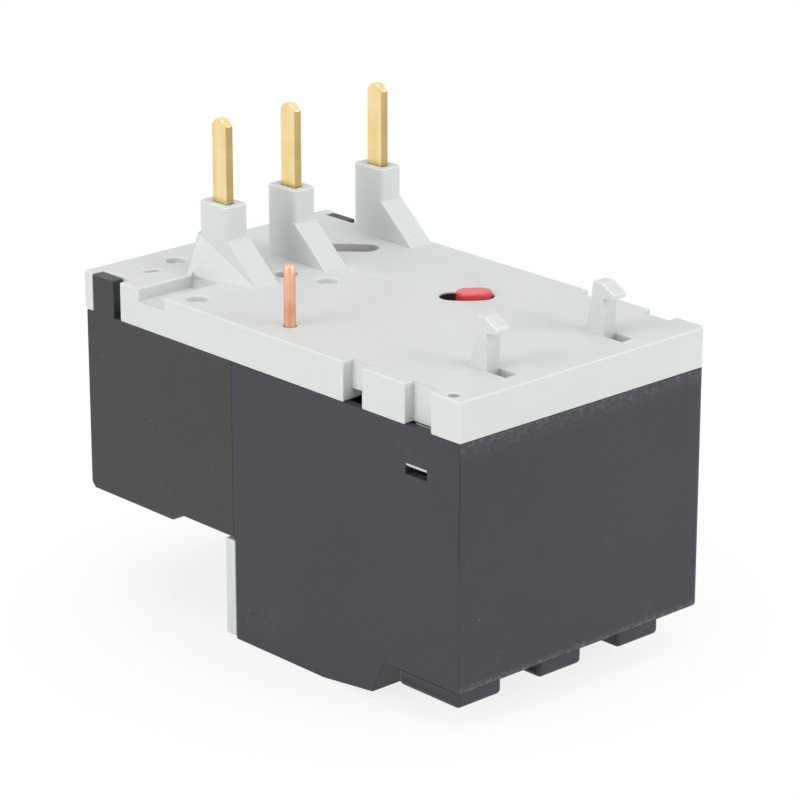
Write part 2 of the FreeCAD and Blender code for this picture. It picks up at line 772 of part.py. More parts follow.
def wedge(inner, edge, spread, height):
    """Outline of the flare beside a column, from the column's edge down to the plate."""
    return [(inner, plate_top - embed), (edge + spread, plate_top - embed), (edge + spread, plate_top),
            (edge + fit_gap, height + fit_gap), (inner, height + fit_gap)]


def make_top_plate():
    """Light grey cover that faces the contactor, with pin bosses, gussets, hooks and snap arms."""
    body = start("top_plate")
    pad(body, "Z", seam_height, plate_top, plate_outline())
    round_edges(body, corner_radius, lambda p: near(p.x, -side) and near(p.y, rear))
    # core-out of the underside, which leaves a skin
    low_y = front + tab_notch_front + tab_notch_length + pin_slot_gap
    half = side - underside_border
    cut_boxes(body, [(-half, half, low_y, rear - underside_rear_depth)], seam_height,
              seam_height + underside_relief)
    # boss columns round the contact pins
    for pin_x in pins:
        add_box(body, (pin_x - column_width / 2, pin_y - column_length / 2, plate_top - embed),
                (pin_x + column_width / 2, pin_y + column_length / 2, column_top))
    round_edges(body, column_corner,
                lambda p: p.z > plate_top.value - TOLERANCE and abs(p.y - pin_y.value) < column_length.value)
    # gussets behind the columns
    column_rear = pin_y + column_length / 2
    foot = plate_top - embed
    for pin_x in pins:
        profile = [(pin_y, foot), (pin_y, gusset_top), (column_rear, gusset_top),
                   (column_rear + gusset_length, plate_top), (column_rear + gusset_length, foot)]
        pad(body, "X", pin_x - column_width / 2, pin_x + column_width / 2, profile)
    # flared foot on the outer side of the right-hand column
    flare_edge = pin_right_x + column_width / 2
    loft(body, "Y", [(pin_y - column_length / 2, wedge(pin_right_x, flare_edge, flare, gusset_top)),
                     (column_rear + gusset_length, wedge(pin_right_x, flare_edge, fit_gap, plate_top))])
    # hooks that hold the contactor, with the core slot behind each stem
    stem_front = rear - hook_stem_depth
    stem_rear = stem_front + hook_stem_length
    hook_top = plate_top + hook_height
    nose_y = stem_rear + hook_nose
    profile = [(stem_front, foot), (stem_front, plate_top), (stem_front + hook_lean, hook_top),
               (stem_rear - hook_crown_inset, hook_top), (nose_y, hook_top - hook_lean),
               (nose_y, hook_top - hook_lean - hook_lip), (stem_rear, hook_top - hook_barb),
               (stem_rear, foot)]
    for hook in (hook_x, -hook_x):
        pad(body, "X", hook - hook_width / 2, hook + hook_width / 2, profile)
    # snap arms that grip the rear housing
    arm_front = rear - snap_slot_depth + fit_gap
    arm_rear = arm_front + snap_slot_length - fit_gap * 2
    arm_outer = inner_side - fit_gap * 2
    nose_top = snap_slot_bottom + snap_slot_height - fit_gap
    nose_bottom = nose_top - snap_nose_height
    for hand in (1, -1):
        pad(body, "Y", arm_front, arm_rear,
            [(arm_outer * hand, seam_height + wall), (arm_outer * hand, nose_top),
             ((side - snap_nose_inset) * hand, nose_top), (arm_outer * hand, nose_bottom),
             ((arm_outer - snap_arm_thickness) * hand, nose_bottom),
             ((arm_outer - snap_arm_thickness) * hand, seam_height + wall)])
    # through openings: pins, coil link wire, hooks' core slots
    half_gap = pin_slot_gap + pin_thickness / 2
    long_gap = pin_slot_gap + pin_width / 2
    cut_boxes(body, [(x - half_gap, x + half_gap, pin_y - long_gap, pin_y + long_gap) for x in pins],
              seam_height - wall, column_top + wall)
    cut_boxes(body, [(hook - hook_slot_width / 2, hook + hook_slot_width / 2, stem_rear,
                      stem_rear + hook_slot_length) for hook in (hook_x, -hook_x)],
              seam_height - wall, plate_top + fit_gap)
    cut_holes(body, "Z", seam_height, plate_top + wall, [(link_x, link_y, link_radius + fit_gap)])
    # arc slot of the trip lever
    lever_arc(body, "Pocket", seam_height, plate_top + wall, lever_slot_angle, lever_slot_half_sweep,
              lever_slot_width)
    # recess by the right-hand pin, open at the side
    pocket_front = front + top_pocket_setback
    cut_boxes(body, [(top_pocket_inner_x, side + wall, pocket_front, pocket_front + top_pocket_length)],
              plate_top - top_pocket_sink, plate_top + wall)
    # dark opening under the middle side relief
    relief_front = rear - relief_depth
    cut_boxes(body, [(side - relief_opening, side + wall, relief_front, relief_front + relief_length),
                     (-side - wall, -side + relief_opening, relief_front, relief_front + relief_length)],
              seam_height, seam_height + wall)
    # shallow round marks and a tick, a round and a long opening, and the corner's tool hole
    cut_holes(body, "Z", plate_top - mark_sink, plate_top + wall,
              [(front_mark_x, front + front_mark_inset, mark_radius),
               (side - side_mark_inset, pin_y + side_mark_setback, mark_radius),
               (middle_mark_x, pin_y + middle_mark_setback, mark_radius)])
    extrude(body, "Pocket", "Z", plate_top - mark_sink, plate_top + wall,
            lambda sketch: draw_slot(sketch, (side - tick_left_inset, pocket_front - tick_left_spacing),
                                     (side - tick_right_inset, pocket_front - tick_right_spacing),
                                     tick_width))
    cut_holes(body, "Z", seam_height - wall, plate_top + wall, [(vent_x, pin_y + vent_setback, vent_radius)])
    extrude(body, "Pocket", "Z", seam_height - wall, plate_top + wall,
            lambda sketch: draw_slot(sketch, (long_slot_rear_x, pin_y + long_slot_rear_setback),
                                     (long_slot_front_x, pin_y + long_slot_front_setback),
                                     long_slot_width))
    cut_holes(body, "Z", plate_top - plate_thickness / 2, plate_top + wall,
              [(side - tool_hole_side_inset, rear - tool_hole_rear_inset, tool_hole_radius)])


def rear_outline():
    """Side view of the rear housing with its skirt."""
    slope_y = rear - skirt_slope_depth
    step_y = rear - skirt_step_depth
    return [(split_y, seam_height), (rear, seam_height), (rear, chamber_underside),
            (step_y, chamber_underside), (slope_y, skirt_slope_rise), (rear - skirt_flat_depth, 0),
            (skirt_front, 0), (skirt_front, lower_front_height), (split_y, lower_front_height)]


def make_rear_housing():
    """Dark housing of the heater chambers, the trip mechanism and the main terminals."""
    body = start("rear_housing")
    pad(body, "X", -side, side, rear_outline())
    round_edges(body, corner_radius, lambda p: near(p.x, -side) and near(p.y, rear))
    block_front = rear - foot_block_length - fit_gap
    for phase in phases:
        block_x = phase + foot_block_offset
        add_box(body, (block_x - foot_block_width / 2, block_front, foot_block_underside),
                (block_x + foot_block_width / 2, rear - fit_gap, chamber_underside + wall))
    for axis in ("X", "Y"):
        round_edges(body, small_corner, lambda p: near(p.z, foot_block_underside), axis)
    # mechanism compartment, open to the front housing
    partition_front = chamber_front - wall
    over = seam_height + wall
    cut_boxes(body, [(-inner_side, inner_side, split_y - wall, partition_front)], mechanism_floor, over)
    # heater chambers, and the pocket for the foot of each bimetal strip
    cut_boxes(body, [(phase - chamber_reach, phase + chamber_margin, chamber_front, chamber_rear)
                     for phase in phases], chamber_floor, over)
    cut_boxes(body, [(phase - strip_thickness / 2 - running_gap, phase + strip_thickness / 2
                      + terminal_bar_thickness + running_gap, strip_y - strip_width / 2 - running_gap,
                      strip_y + strip_width / 2 + running_gap) for phase in phases],
              foot_pocket_floor, chamber_floor + wall)
    # the partitions stand lower where the slides and the phase bars cross them
    cut_boxes(body, [(-inner_side, inner_side, rail_front_y - running_gap,
                      rail_front_y + rail_width + running_gap),
                     (trip_arm_x - slide_arm_width / 2 - trip_travel - running_gap,
                      return_arm_x + slide_arm_width / 2 + running_gap, partition_front - wall,
                      chamber_front + wall)],
              return_slide_underside - running_gap, over)
    cut_boxes(body, [(-inner_side, inner_side, partition_front - wall, chamber_front + wall)],
              bar_underside - running_gap, over)
    # terminal space, open below and in front until the terminal cover closes it
    cover_rear = rear - skirt_flat_depth - running_gap
    cut_boxes(body, [(-inner_side, inner_side, skirt_front - wall, cover_rear)], -wall, terminal_roof)
    space_rear = rear - terminal_space_depth
    cut_boxes(body, [(-inner_side, inner_side, cover_rear - wall, space_rear)],
              skirt_slope_rise + wall, terminal_roof)
    # windows for the terminal bars between the terminal space and the chambers
    cut_boxes(body, [(phase - terminal_bar_width / 2 - running_gap, phase + terminal_bar_width / 2
                      + running_gap, space_rear - wall, chamber_front + wall) for phase in phases],
              terminal_bar_underside - running_gap,
              terminal_bar_underside + terminal_bar_thickness + running_gap)
    # snap slots in both long walls
    slot_rear = rear - snap_slot_depth + snap_slot_length
    cut_boxes(body, [(inner_side - wall, side + wall, rear - snap_slot_depth, slot_rear),
                     (-side - wall, -inner_side + wall, rear - snap_slot_depth, slot_rear)],
              snap_slot_bottom, snap_slot_bottom + snap_slot_height)
    # boss of the trip lever's pivot pin
    boss_top = mechanism_floor + pivot_boss_height
    add_rod(body, "Z", mechanism_floor - wall / 2, boss_top, lever_pivot_x, lever_pivot_y, pivot_boss_radius)
    cut_holes(body, "Z", mechanism_floor, boss_top + wall, [(lever_pivot_x, lever_pivot_y, pivot_radius)])


def make_front_housing():
    """Dark housing of the controls and the auxiliary terminals."""
    body = start("front_housing")
    step_front = front + front_step_setback
    step_top = front_underside + front_step_rise
    corner = small_corner
    pad(body, "X", -side, side,
        [(split_y, step_top), (split_y, seam_height), (front_face, seam_height),
         (front_face, front_underside + corner), (front_face + corner, front_underside),
         (step_front, front_underside), (step_front + front_step_length, step_top)])
    over = seam_height + wall
    cut_boxes(body, [(-inner_side, inner_side, inner_front, bulkhead_front_y),
                     (-inner_side, inner_side, bulkhead_rear, split_y + wall)], front_floor, over)
    cut_boxes(body, [(-inner_side, inner_side, bulkhead_front_y - wall, bulkhead_rear + wall)],
              bulkhead_top, over)
    # front wall: opening for the fascia, screwdriver holes; floor: wire holes
    pocket(body, "Y", front_face - wall, inner_front + fit_gap,
           [(-fascia_half_width, fascia_bottom), (fascia_half_width, fascia_bottom),
            (fascia_half_width, fascia_top), (-fascia_half_width, fascia_top)])
    cut_holes(body, "Y", front_face - wall, inner_front + fit_gap,
              [(x, aux_screw_height, aux_access_radius) for x in aux_terminals])
    wire_y = inner_front + aux_wire_front
    cut_holes(body, "Z", front_underside - wall, front_floor + fit_gap,
              [(x, wire_y, aux_wire_radius) for x in aux_terminals])
    # bulkhead: holes for the shafts, windows for the contact strips and for the flag's arm
    near_side = bulkhead_front_y - fit_gap
    far_side = bulkhead_rear + fit_gap
    cut_holes(body, "Y", near_side, far_side,
              [(dial_x, control_height, dial_shaft_radius + button_hole_gap),
               (reset_x, control_height, reset_shaft_radius + button_hole_gap),
               (test_x, control_height, test_shaft_radius + button_hole_gap)])
    cut_boxes(body, [(x - link_radius - running_gap, x + link_radius + running_gap, near_side, far_side)
                     for x in aux_terminals],
              contact_strip_underside - running_gap, contact_strip_underside + contact_strip_height
              + running_gap)
    cut_boxes(body, [(flag_window_x - contact_gap - flag_window_width / 2, flag_window_x
                      + flag_window_width / 2, near_side, far_side)],
              lug_top - running_gap, lug_top + flag_window_height / 2)
    # ribs that the contact carrier slides on, and the boss of the adjusting lever's pin
    for x in (carrier_rib_left_x, carrier_rib_right_x):
        add_box(body, (x - wall / 2, carrier_front_y, front_floor - embed),
                (x + wall / 2, carrier_rear_y, carrier_underside - running_gap))
    boss_top = front_floor + pivot_boss_height
    add_rod(body, "Z", front_floor - fit_gap, boss_top, adjuster_pivot_x, adjuster_pivot_y,
            pivot_boss_radius)
    cut_holes(body, "Z", front_floor, boss_top + wall, [(adjuster_pivot_x, adjuster_pivot_y, pivot_radius)])
    # tabs that stand in the plate's front notches
    tab_front = front + tab_notch_front
    for hand in (1, -1):
        low_x = side - tab_notch_depth + fit_gap
        pad(body, "Z", seam_height - wall, seam_height + tab_height,
            [(low_x * hand, tab_front), (side * hand, tab_front), (side * hand, tab_front + tab_length),
             (low_x * hand, tab_front + tab_length)])


def make_terminal_cover():
    """Light grey cover over the main terminals: a front panel with a floor that the wires pass."""
    body = start("terminal_cover")
    panel_rear = skirt_front - cover_gap
    panel_front = panel_rear - cover_thickness
    panel_top = lower_front_height - cover_gap
    floor_top = cover_lift + cover_floor_thickness
    pad(body, "X", -side + fit_gap, side - fit_gap,
        [(panel_front, cover_lift), (panel_rear, cover_lift), (panel_rear, panel_top),
         (panel_front, panel_top)])
    add_box(body, (-inner_side + fit_gap, panel_rear - embed, cover_lift),
            (inner_side - fit_gap, rear - skirt_flat_depth - running_gap * 2, floor_top))
    cut_holes(body, "Y", panel_front - wall, panel_rear + fit_gap,
              [(x, main_screw_height, cover_screw_hole_radius) for x in terminals])
    cut_boxes(body, [(x - wire_window_width / 2, x + wire_window_width / 2, wire_window_y,
                      wire_window_y + wire_window_length) for x in terminals],
              cover_lift - wall, floor_top + fit_gap)


def make_control_fascia():
    """Light grey panel behind the front opening, with holes for dial, buttons and flag."""
    body = start("control_fascia")
    panel_front = front_face + fascia_recess
    half = fascia_half_width - fit_gap
    pad(body, "Y", panel_front, flange_front,
        [(-half, fascia_bottom + fit_gap), (half, fascia_bottom + fit_gap), (half, fascia_top - fit_gap),
         (-half, fascia_top - fit_gap)])
    outer = fascia_half_width + flange_lip
    pad(body, "Y", flange_front, flange_rear,
        [(-outer, fascia_bottom - flange_lip), (outer, fascia_bottom - flange_lip),
         (outer, fascia_top + flange_lip), (-outer, fascia_top + flange_lip)])
    cut_holes(body, "Y", panel_front - wall, flange_rear + fit_gap,
              [(dial_x, control_height, dial_radius + button_hole_gap),
               (reset_x, control_height, reset_radius + button_hole_gap),
               (test_x, control_height, test_radius + button_hole_gap)])
    low_x = flag_window_x - flag_window_width / 2
    high_x = flag_window_x + flag_window_width / 2
    low_z = control_height - flag_window_height / 2
    high_z = control_height + flag_window_height / 2
    pocket(body, "Y", panel_front - wall, flange_rear + fit_gap,
           [(low_x, low_z), (high_x, low_z), (high_x, high_z), (low_x, high_z)])


# ---------------------------------------------------------------- current path

def make_phase_bar(label, pin_x, phase):
    """Brass contact pin with its bar, bent sideways to the heater chamber."""
    body = start(label)
    bar_top = bar_underside + bar_height
    end_y = lead_y + lead_thickness / 2
    route = [(pin_x, pin_y - pin_width / 2), (pin_x, bar_jog_start), (phase, bar_jog_end), (phase, end_y)]
    pad(body, "Z", bar_underside, bar_top, strip_outline(route, pin_thickness))
    tip = pin_tip_height - pin_tip_chamfer
    half = pin_width / 2
    pad(body, "X", pin_x - pin_thickness / 2, pin_x + pin_thickness / 2,
        [(pin_y - half, bar_underside), (pin_y + half, bar_underside), (pin_y + half, tip),
         (pin_y + half - pin_tip_chamfer, pin_tip_height), (pin_y - half + pin_tip_chamfer, pin_tip_height),
         (pin_y - half, tip)])


def make_bimetal(label, phase):
    """Bimetal strip, with its foot in the pocket of the chamber's end block."""
    strip = box(strip_thickness, strip_width, strip_top - foot_pocket_floor, phase - strip_thickness / 2,
                strip_y - strip_width / 2, foot_pocket_floor)
    keep(label, strip)


def make_sleeve(label, phase):
    """Insulating sleeve round the bimetal strip, which carries the heater ribbon."""
    inner = fit_gap
    outer = fit_gap + sleeve_wall
    walls = []
    for margin in (outer, inner):
        walls.append(box(strip_thickness + margin * 2, strip_width + margin * 2, sleeve_height,
                         phase - strip_thickness / 2 - margin, strip_y - strip_width / 2 - margin,
                         sleeve_bottom))
    keep(label, cut(walls[0], walls[1]))


def make_winding(phase):
    """Square-cornered helix of ribbon, lofted through one mitred section at each corner."""
    inner_gap = (winding_gap + sleeve_wall).value
    outer_gap = inner_gap + ribbon_thickness.value
    rise = ribbon_pitch.value / 4
    turns = int((sleeve_height.value - ribbon_height.value * 2) / ribbon_pitch.value)
    sections = []
    for step in range(turns * 4 + 1):
        hand_x = (1, 1, -1, -1)[step % 4]
        hand_y = (-1, 1, 1, -1)[step % 4]
        low = sleeve_bottom.value + ribbon_height.value / 2 + rise * step
        high = low + ribbon_height.value
        near_corner, far_corner = [
            (phase.value + hand_x * (strip_thickness.value / 2 + gap),
             strip_y.value + hand_y * (strip_width.value / 2 + gap)) for gap in (inner_gap, outer_gap)]
        loop = [(*near_corner, low), (*far_corner, low), (*far_corner, high), (*near_corner, high)]
        corners = [FreeCAD.Vector(*point) for point in loop]
        sections.append(Part.makePolygon(corners + corners[:1]))
    winding = doc.addObject("Part::Feature", "Winding")
    winding.Shape = Part.makeLoft(sections, True, True)
    return winding


def make_heater(label, phase):
    """Flat heater ribbon wound round the sleeve, with the lead that rises to the phase bar."""
    lead_foot = sleeve_bottom + ribbon_height / 2
    half_x = strip_thickness / 2 + winding_gap + sleeve_wall
    lead_front = lead_y - lead_thickness / 2
    lead = box(lead_width, lead_thickness, bar_underside - lead_foot, phase - lead_width / 2, lead_front,
               lead_foot)
    foot = box(half_x + ribbon_thickness + lead_width / 2, lead_thickness, ribbon_height,
               phase - lead_width / 2, lead_front, lead_foot)
    weld = box(ribbon_thickness, strip_y - strip_width / 2 - lead_y, ribbon_height, phase + half_x, lead_y,
               lead_foot)
    keep(label, fuse([make_winding(phase), lead, foot, weld]))


def make_terminal_bar(label, phase, terminal):
    """Bar from the foot of a bimetal strip to the tongue in a main clamp."""
    body = start(label)
    bar_top = terminal_bar_underside + terminal_bar_thickness
    jog_start = wire_window_y + wire_window_length + wall
    jog_end = jog_start + terminal_jog_length
    lug_front = strip_y - strip_width / 2 - wall
    route = [(terminal, tongue_y), (terminal, jog_start), (phase, jog_end),
             (phase, lug_front + terminal_bar_thickness)]
    pad(body, "Z", terminal_bar_underside, bar_top, strip_outline(route, terminal_bar_width))
    add_box(body, (terminal - tongue_width / 2, tongue_y, tongue_bottom),
            (terminal + tongue_width / 2, tongue_y + terminal_bar_thickness, bar_top))
    lug_x = phase + strip_thickness / 2
    add_box(body, (lug_x, lug_front, terminal_lug_bottom),
            (lug_x + terminal_bar_thickness, strip_y + strip_width / 2, bar_top))


def make_clamp(terminal, width_x, length_y, height_z, low, thickness, screw_radius, screw_height):
    """Cage clamp: a square tube that the wire passes upwards, with the screw's hole in its front wall."""
    low_y, low_z = low
    outer = box(width_x, length_y, height_z, terminal - width_x / 2, low_y, low_z)
    inner = box(width_x - thickness * 2, length_y - thickness * 2, height_z + wall * 2,
                terminal - width_x / 2 + thickness, low_y + thickness, low_z - wall)
    hole = cylinder(screw_radius, thickness + wall, terminal, low_y - wall / 2, screw_height, "Y")
    return cut(outer, fuse([inner, hole]))


def make_screw(terminal, screw_radius, head_radius, head_height, head_front, tip, height):
    """Slotted clamp screw that points to the rear."""
    head = cylinder(head_radius, head_height, terminal, head_front, height, "Y")
    shank = cylinder(screw_radius, tip - head_front, terminal, head_front, height, "Y")
    slot_width = head_radius * screw_slot_share
    slot_length = head_radius * 2 + wall
    slot = box(slot_length, head_height, slot_width, terminal - slot_length / 2,
               head_front - head_height / 2, height - slot_width / 2)
    return cut(fuse([head, shank]), slot)


def make_main_terminals():
    low_y = tongue_y - clamp_front_reach
    clamps = [make_clamp(x, clamp_width, clamp_length, clamp_height, (low_y, clamp_bottom), clamp_wall,
                         main_screw_radius, main_screw_height) for x in terminals]
    collect("main_clamps", clamps)
    head_front = low_y - main_head_height - running_gap
    screws = [make_screw(x, main_screw_radius, main_head_radius, main_head_height, head_front, tongue_y,
                         main_screw_height) for x in terminals]
    collect("main_screws", screws)


def make_aux_terminals():
    tongue_front = inner_front + aux_tongue_front
    low_y = tongue_front - aux_clamp_front + running_gap
    low_z = aux_screw_height - aux_clamp_height / 2
    clamps = [make_clamp(x, aux_clamp_width, aux_clamp_length, aux_clamp_height, (low_y, low_z),
                         aux_clamp_wall, aux_screw_radius, aux_screw_height) for x in aux_terminals]
    collect("aux_clamps", clamps)
    head_front = low_y - aux_head_height - fit_gap
    screws = [make_screw(x, aux_screw_radius, aux_head_radius, aux_head_height, head_front, tongue_front,
                         aux_screw_height) for x in aux_terminals]
    collect("aux_screws", screws)
    return tongue_front


def add_aux_tongue(body, x, tongue_front):
    strip_top_level = contact_strip_underside + contact_strip_height
    add_box(body, (x - aux_tongue_width / 2, tongue_front, front_floor + wall / 2),
            (x + aux_tongue_width / 2, tongue_front + contact_strip_thickness, strip_top_level))


def make_contact(label, terminal, tongue_front, route, hand):
    """Auxiliary terminal tongue and the standing strip that ends in a fixed contact."""
    body = start(label)
    add_aux_tongue(body, terminal, tongue_front)
    strip_top_level = contact_strip_underside + contact_strip_height
    full_route = [(terminal, tongue_front + contact_strip_thickness / 2)] + route
    pad(body, "Z", contact_strip_underside, strip_top_level,
        strip_outline(full_route, contact_strip_thickness))
    end_x = route[-1][0]
    face = end_x + contact_strip_thickness / 2 * hand
    spot_y = contact_front_y if route[-1][1].value < carrier_front_y.value else contact_rear_y
    middle = contact_strip_underside + contact_strip_height / 2
    edges = sorted([face - contact_strip_thickness / 4 * hand, face + contact_height * hand],
                   key=lambda length: length.value)
    add_rod(body, "X", edges[0], edges[1], spot_y, middle, contact_radius)


def make_contacts(tongue_front):
    closed_x = closed_contact_x + contact_height + contact_strip_thickness / 2
    open_face = open_bridge_x - bridge_thickness / 2 - contact_height - contact_gap
    open_x = open_face - contact_height - contact_strip_thickness / 2
    front_end = contact_front_y + contact_radius + contact_end_margin
    rear_end = contact_rear_y + contact_radius + contact_end_margin
    turn_y = carrier_rear_y + contact_turn_gap
    bend = bulkhead_rear + wall
    make_contact("no_contact_in", aux_terminals[0], tongue_front,
                 [(aux_terminals[0], turn_y - contact_turn_run), (open_x, turn_y + contact_turn_lead),
                  (open_x, rear_end)], 1)
    make_contact("no_contact_out", aux_terminals[1], tongue_front,
                 [(aux_terminals[1], bend), (open_x, bend + contact_turn_run), (open_x, front_end)], 1)
    make_contact("nc_contact_in", aux_terminals[2], tongue_front,
                 [(aux_terminals[2], bend), (closed_x, bend + wall), (closed_x, front_end)], -1)
    make_contact("nc_contact_out", aux_terminals[3], tongue_front,
                 [(aux_terminals[3], turn_y - contact_turn_run), (closed_x, turn_y + contact_turn_lead),
                  (closed_x, rear_end)], -1)
    body = start("link_terminal")
    add_aux_tongue(body, aux_terminals[4], tongue_front)


def make_coil_link_wire(tongue_front):
    """Bare copper wire from the auxiliary terminal up through the plate to the contactor's coil."""
    foot = link_level + link_bend
    lead = cylinder(link_radius, link_top - foot, link_x, link_y, foot, "Z")
    run_start = tongue_front + contact_strip_thickness
    run = cylinder(link_radius, link_y - link_bend - run_start, link_x, run_start, link_level, "Y")
    elbow = doc.addObject("Part::Torus", "Elbow")
    bind(elbow, "Radius1", link_bend)
    bind(elbow, "Radius2", link_radius)
    elbow.Angle3 = 90
    elbow.Placement.Rotation = FreeCAD.Rotation(AXES["Y"], 90)
    place(elbow, link_x, link_y - link_bend, foot)
    keep("coil_link_wire", fuse([lead, elbow, run]))


# ---------------------------------------------------------------- contacts and trip mechanism

def make_carrier():
    """Sliding carrier of the moving contacts, driven by the pin of the trip lever."""
    body = start("contact_carrier")
    carrier_right_x = closed_contact_x - contact_height - bridge_thickness
    bar_top = carrier_underside + carrier_height
    add_box(body, (carrier_left_x, carrier_front_y, carrier_underside),
            (carrier_right_x, carrier_rear_y, bar_top))
    fork_y = lever_pivot_y - lever_arm
    play = pivot_radius + fit_gap
    fork_rear = fork_y + play + fork_margin
    fork_half = play + wall
    lug_left = lever_pivot_x - fork_half
    pad(body, "Z", bar_top, lug_top,
        [(lug_left, carrier_front_y), (carrier_right_x, carrier_front_y), (carrier_right_x, carrier_rear_y),
         (lever_pivot_x + fork_half, carrier_rear_y), (lever_pivot_x + fork_half, fork_rear + wall),
         (lug_left, fork_rear + wall)])
    cut_boxes(body, [(lever_pivot_x - play, lever_pivot_x + play, fork_y - play - running_gap, fork_rear)],
              bar_top - fit_gap, lug_top + fit_gap)
    cut_boxes(body, [(open_bridge_x - bridge_thickness / 2, open_bridge_x + bridge_thickness / 2,
                      carrier_front_y - wall, carrier_rear_y + wall)],
              contact_strip_underside, contact_strip_underside + contact_strip_height)


def make_bridge(label, bridge_x, face_x, tip_x):
    """Moving bridge: a copper strip with a contact near each end."""
    body = start(label)
    half = bridge_thickness / 2
    add_box(body, (bridge_x - half, bridge_front_y, contact_strip_underside),
            (bridge_x + half, bridge_rear_y, contact_strip_underside + contact_strip_height))
    middle = contact_strip_underside + contact_strip_height / 2
    low, high = sorted([face_x, tip_x], key=lambda length: length.value)
    for spot_y in (contact_front_y, contact_rear_y):
        add_rod(body, "X", low, high, spot_y, middle, contact_radius)


def make_bridges():
    half = bridge_thickness / 2
    closed_bridge_x = closed_contact_x - contact_height - half
    make_bridge("nc_bridge", closed_bridge_x, closed_bridge_x, closed_contact_x)
    make_bridge("no_bridge", open_bridge_x, open_bridge_x, open_bridge_x - half - contact_height)


def make_trip_flag():
    """Flag behind the fascia's window, on an arm from the contact carrier."""
    body = start("trip_flag")
    half = bridge_thickness
    add_box(body, (flag_window_x - half, collar_front, lug_top),
            (flag_window_x + half, carrier_rear_y, lug_top + half * 2))
    flag_half = flag_window_height / 2 + half
    add_box(body, (flag_window_x - flag_width / 2, collar_front, control_height - flag_half),
            (flag_window_x + flag_width / 2, collar_front + flag_thickness, control_height + flag_half))


def make_trip_lever():
    """Red lever that swings on its pin: its post shows in the plate's arc slot."""
    body = start("trip_lever")
    lever_top = lever_underside + lever_thickness
    post_angle = lever_slot_angle + lever_rest_angle
    post_centre = lever_point(post_angle, lever_radius)
    fork_y = lever_pivot_y - lever_arm
    add_rod(body, "Z", lever_underside, lever_top, lever_pivot_x, lever_pivot_y, lever_hub_radius)
    pad(body, "Z", lever_underside, lever_top,
        strip_outline([(lever_pivot_x, lever_pivot_y), post_centre], lever_arm_width))
    pad(body, "Z", lever_underside, lever_top,
        strip_outline([(lever_pivot_x, lever_pivot_y), (lever_pivot_x, fork_y)], lever_arm_width))
    add_rod(body, "Z", lever_underside, lever_top, lever_pivot_x, fork_y, lever_arm_width / 2)
    pin_bottom = carrier_underside + carrier_height + fit_gap
    add_rod(body, "Z", pin_bottom, lever_underside + fit_gap, lever_pivot_x, fork_y, pivot_radius)
    lever_arc(body, "Pad", lever_underside, lever_post_top, post_angle, lever_post_half_sweep,
              lever_post_width)
    cut_holes(body, "Z", lever_underside - wall, lever_top + fit_gap,
              [(lever_pivot_x, lever_pivot_y, pivot_radius + pivot_clearance)])
    keep("trip_pivot", cylinder(pivot_radius, pivot_top - mechanism_floor, lever_pivot_x, lever_pivot_y,
                                mechanism_floor, "Z"))


def make_spring(label, radius, wire, length, turns, x, y, z, axis):
    """Coil spring of round wire from a point along +Y or +Z, with the wire inside its length."""
    helix = doc.addObject("Part::Helix", "Coil")
    bind(helix, "Radius", radius)
    bind(helix, "Height", length - wire)
    bind(helix, "Pitch", (length - wire) / turns)
    helix.Placement.Rotation = FreeCAD.Rotation(AXES["Z"], AXES[axis])
    section = doc.addObject("Part::Circle", "WireSection")
    bind(section, "Radius", wire / 2)
    if axis == "Z":
        section.Placement.Rotation = FreeCAD.Rotation(AXES["X"], 90)
        place(helix, x, y, z + wire / 2)
        place(section, x + radius, y, z + wire / 2)
    else:
        place(helix, x, y + wire / 2, z)
        place(section, x + radius, y + wire / 2, z)
    sweep = doc.addObject("Part::Sweep", label)
    sweep.Sections = [section]
    sweep.Spine = (helix, ["Edge1"])
    sweep.Solid = True
    sweep.Frenet = True
    keep(label, sweep)


def add_slide(body, underside, finger_low, finger_high, rail_low, rail_high, arm_x):
    top = underside + slide_thickness
    rail_rear_y = rail_front_y + rail_width
    add_box(body, (rail_low, rail_front_y, underside), (rail_high, rail_rear_y, top))
    for phase in phases:
        add_box(body, (phase + finger_low, rail_rear_y - embed, underside),
                (phase + finger_high, rail_rear_y + finger_length, top))
    half = slide_arm_width / 2
    add_box(body, (arm_x - half, slide_arm_tip_y, underside), (arm_x + half, rail_front_y + embed, top))


def make_slides():
    """The two slides that the bimetal strips move, and the lever that compares them."""
    half = strip_thickness / 2
    body = start("trip_slide")
    finger_high = -half - running_gap
    finger_low = finger_high - finger_width
    add_slide(body, trip_slide_underside, finger_low, finger_high, phases[2] + finger_low - embed,
              phases[0] + finger_high + running_gap, trip_arm_x)
    cut_holes(body, "Z", trip_slide_underside - fit_gap, trip_slide_underside + slide_thickness + fit_gap,
              [(trip_arm_x, differential_y, differential_pin_radius + fit_gap)])
    body = start("return_slide")
    finger_low = half + return_gap
    finger_high = chamber_margin - running_gap
    add_slide(body, return_slide_underside, finger_low, finger_high, phases[2] + finger_low - embed,
              phases[0] + finger_high, return_arm_x)
    play = differential_pin_radius + fit_gap
    cut_boxes(body, [(return_arm_x - play, return_arm_x + play, differential_y - play - fork_margin,
                      differential_y + play + fork_margin)],
              return_slide_underside - fit_gap, return_slide_underside + slide_thickness + fit_gap)
    body = start("differential_lever")
    lever_top = differential_underside + differential_thickness
    add_box(body, (differential_tip_x, differential_y - wall, differential_underside),
            (return_arm_x + wall, differential_y + wall, lever_top))
    add_rod(body, "Z", lever_top - fit_gap, trip_slide_underside + slide_thickness - fit_gap, trip_arm_x,
            differential_y, differential_pin_radius)
    add_rod(body, "Z", lever_top - fit_gap, return_slide_underside + slide_thickness - fit_gap,
            return_arm_x, differential_y, differential_pin_radius)


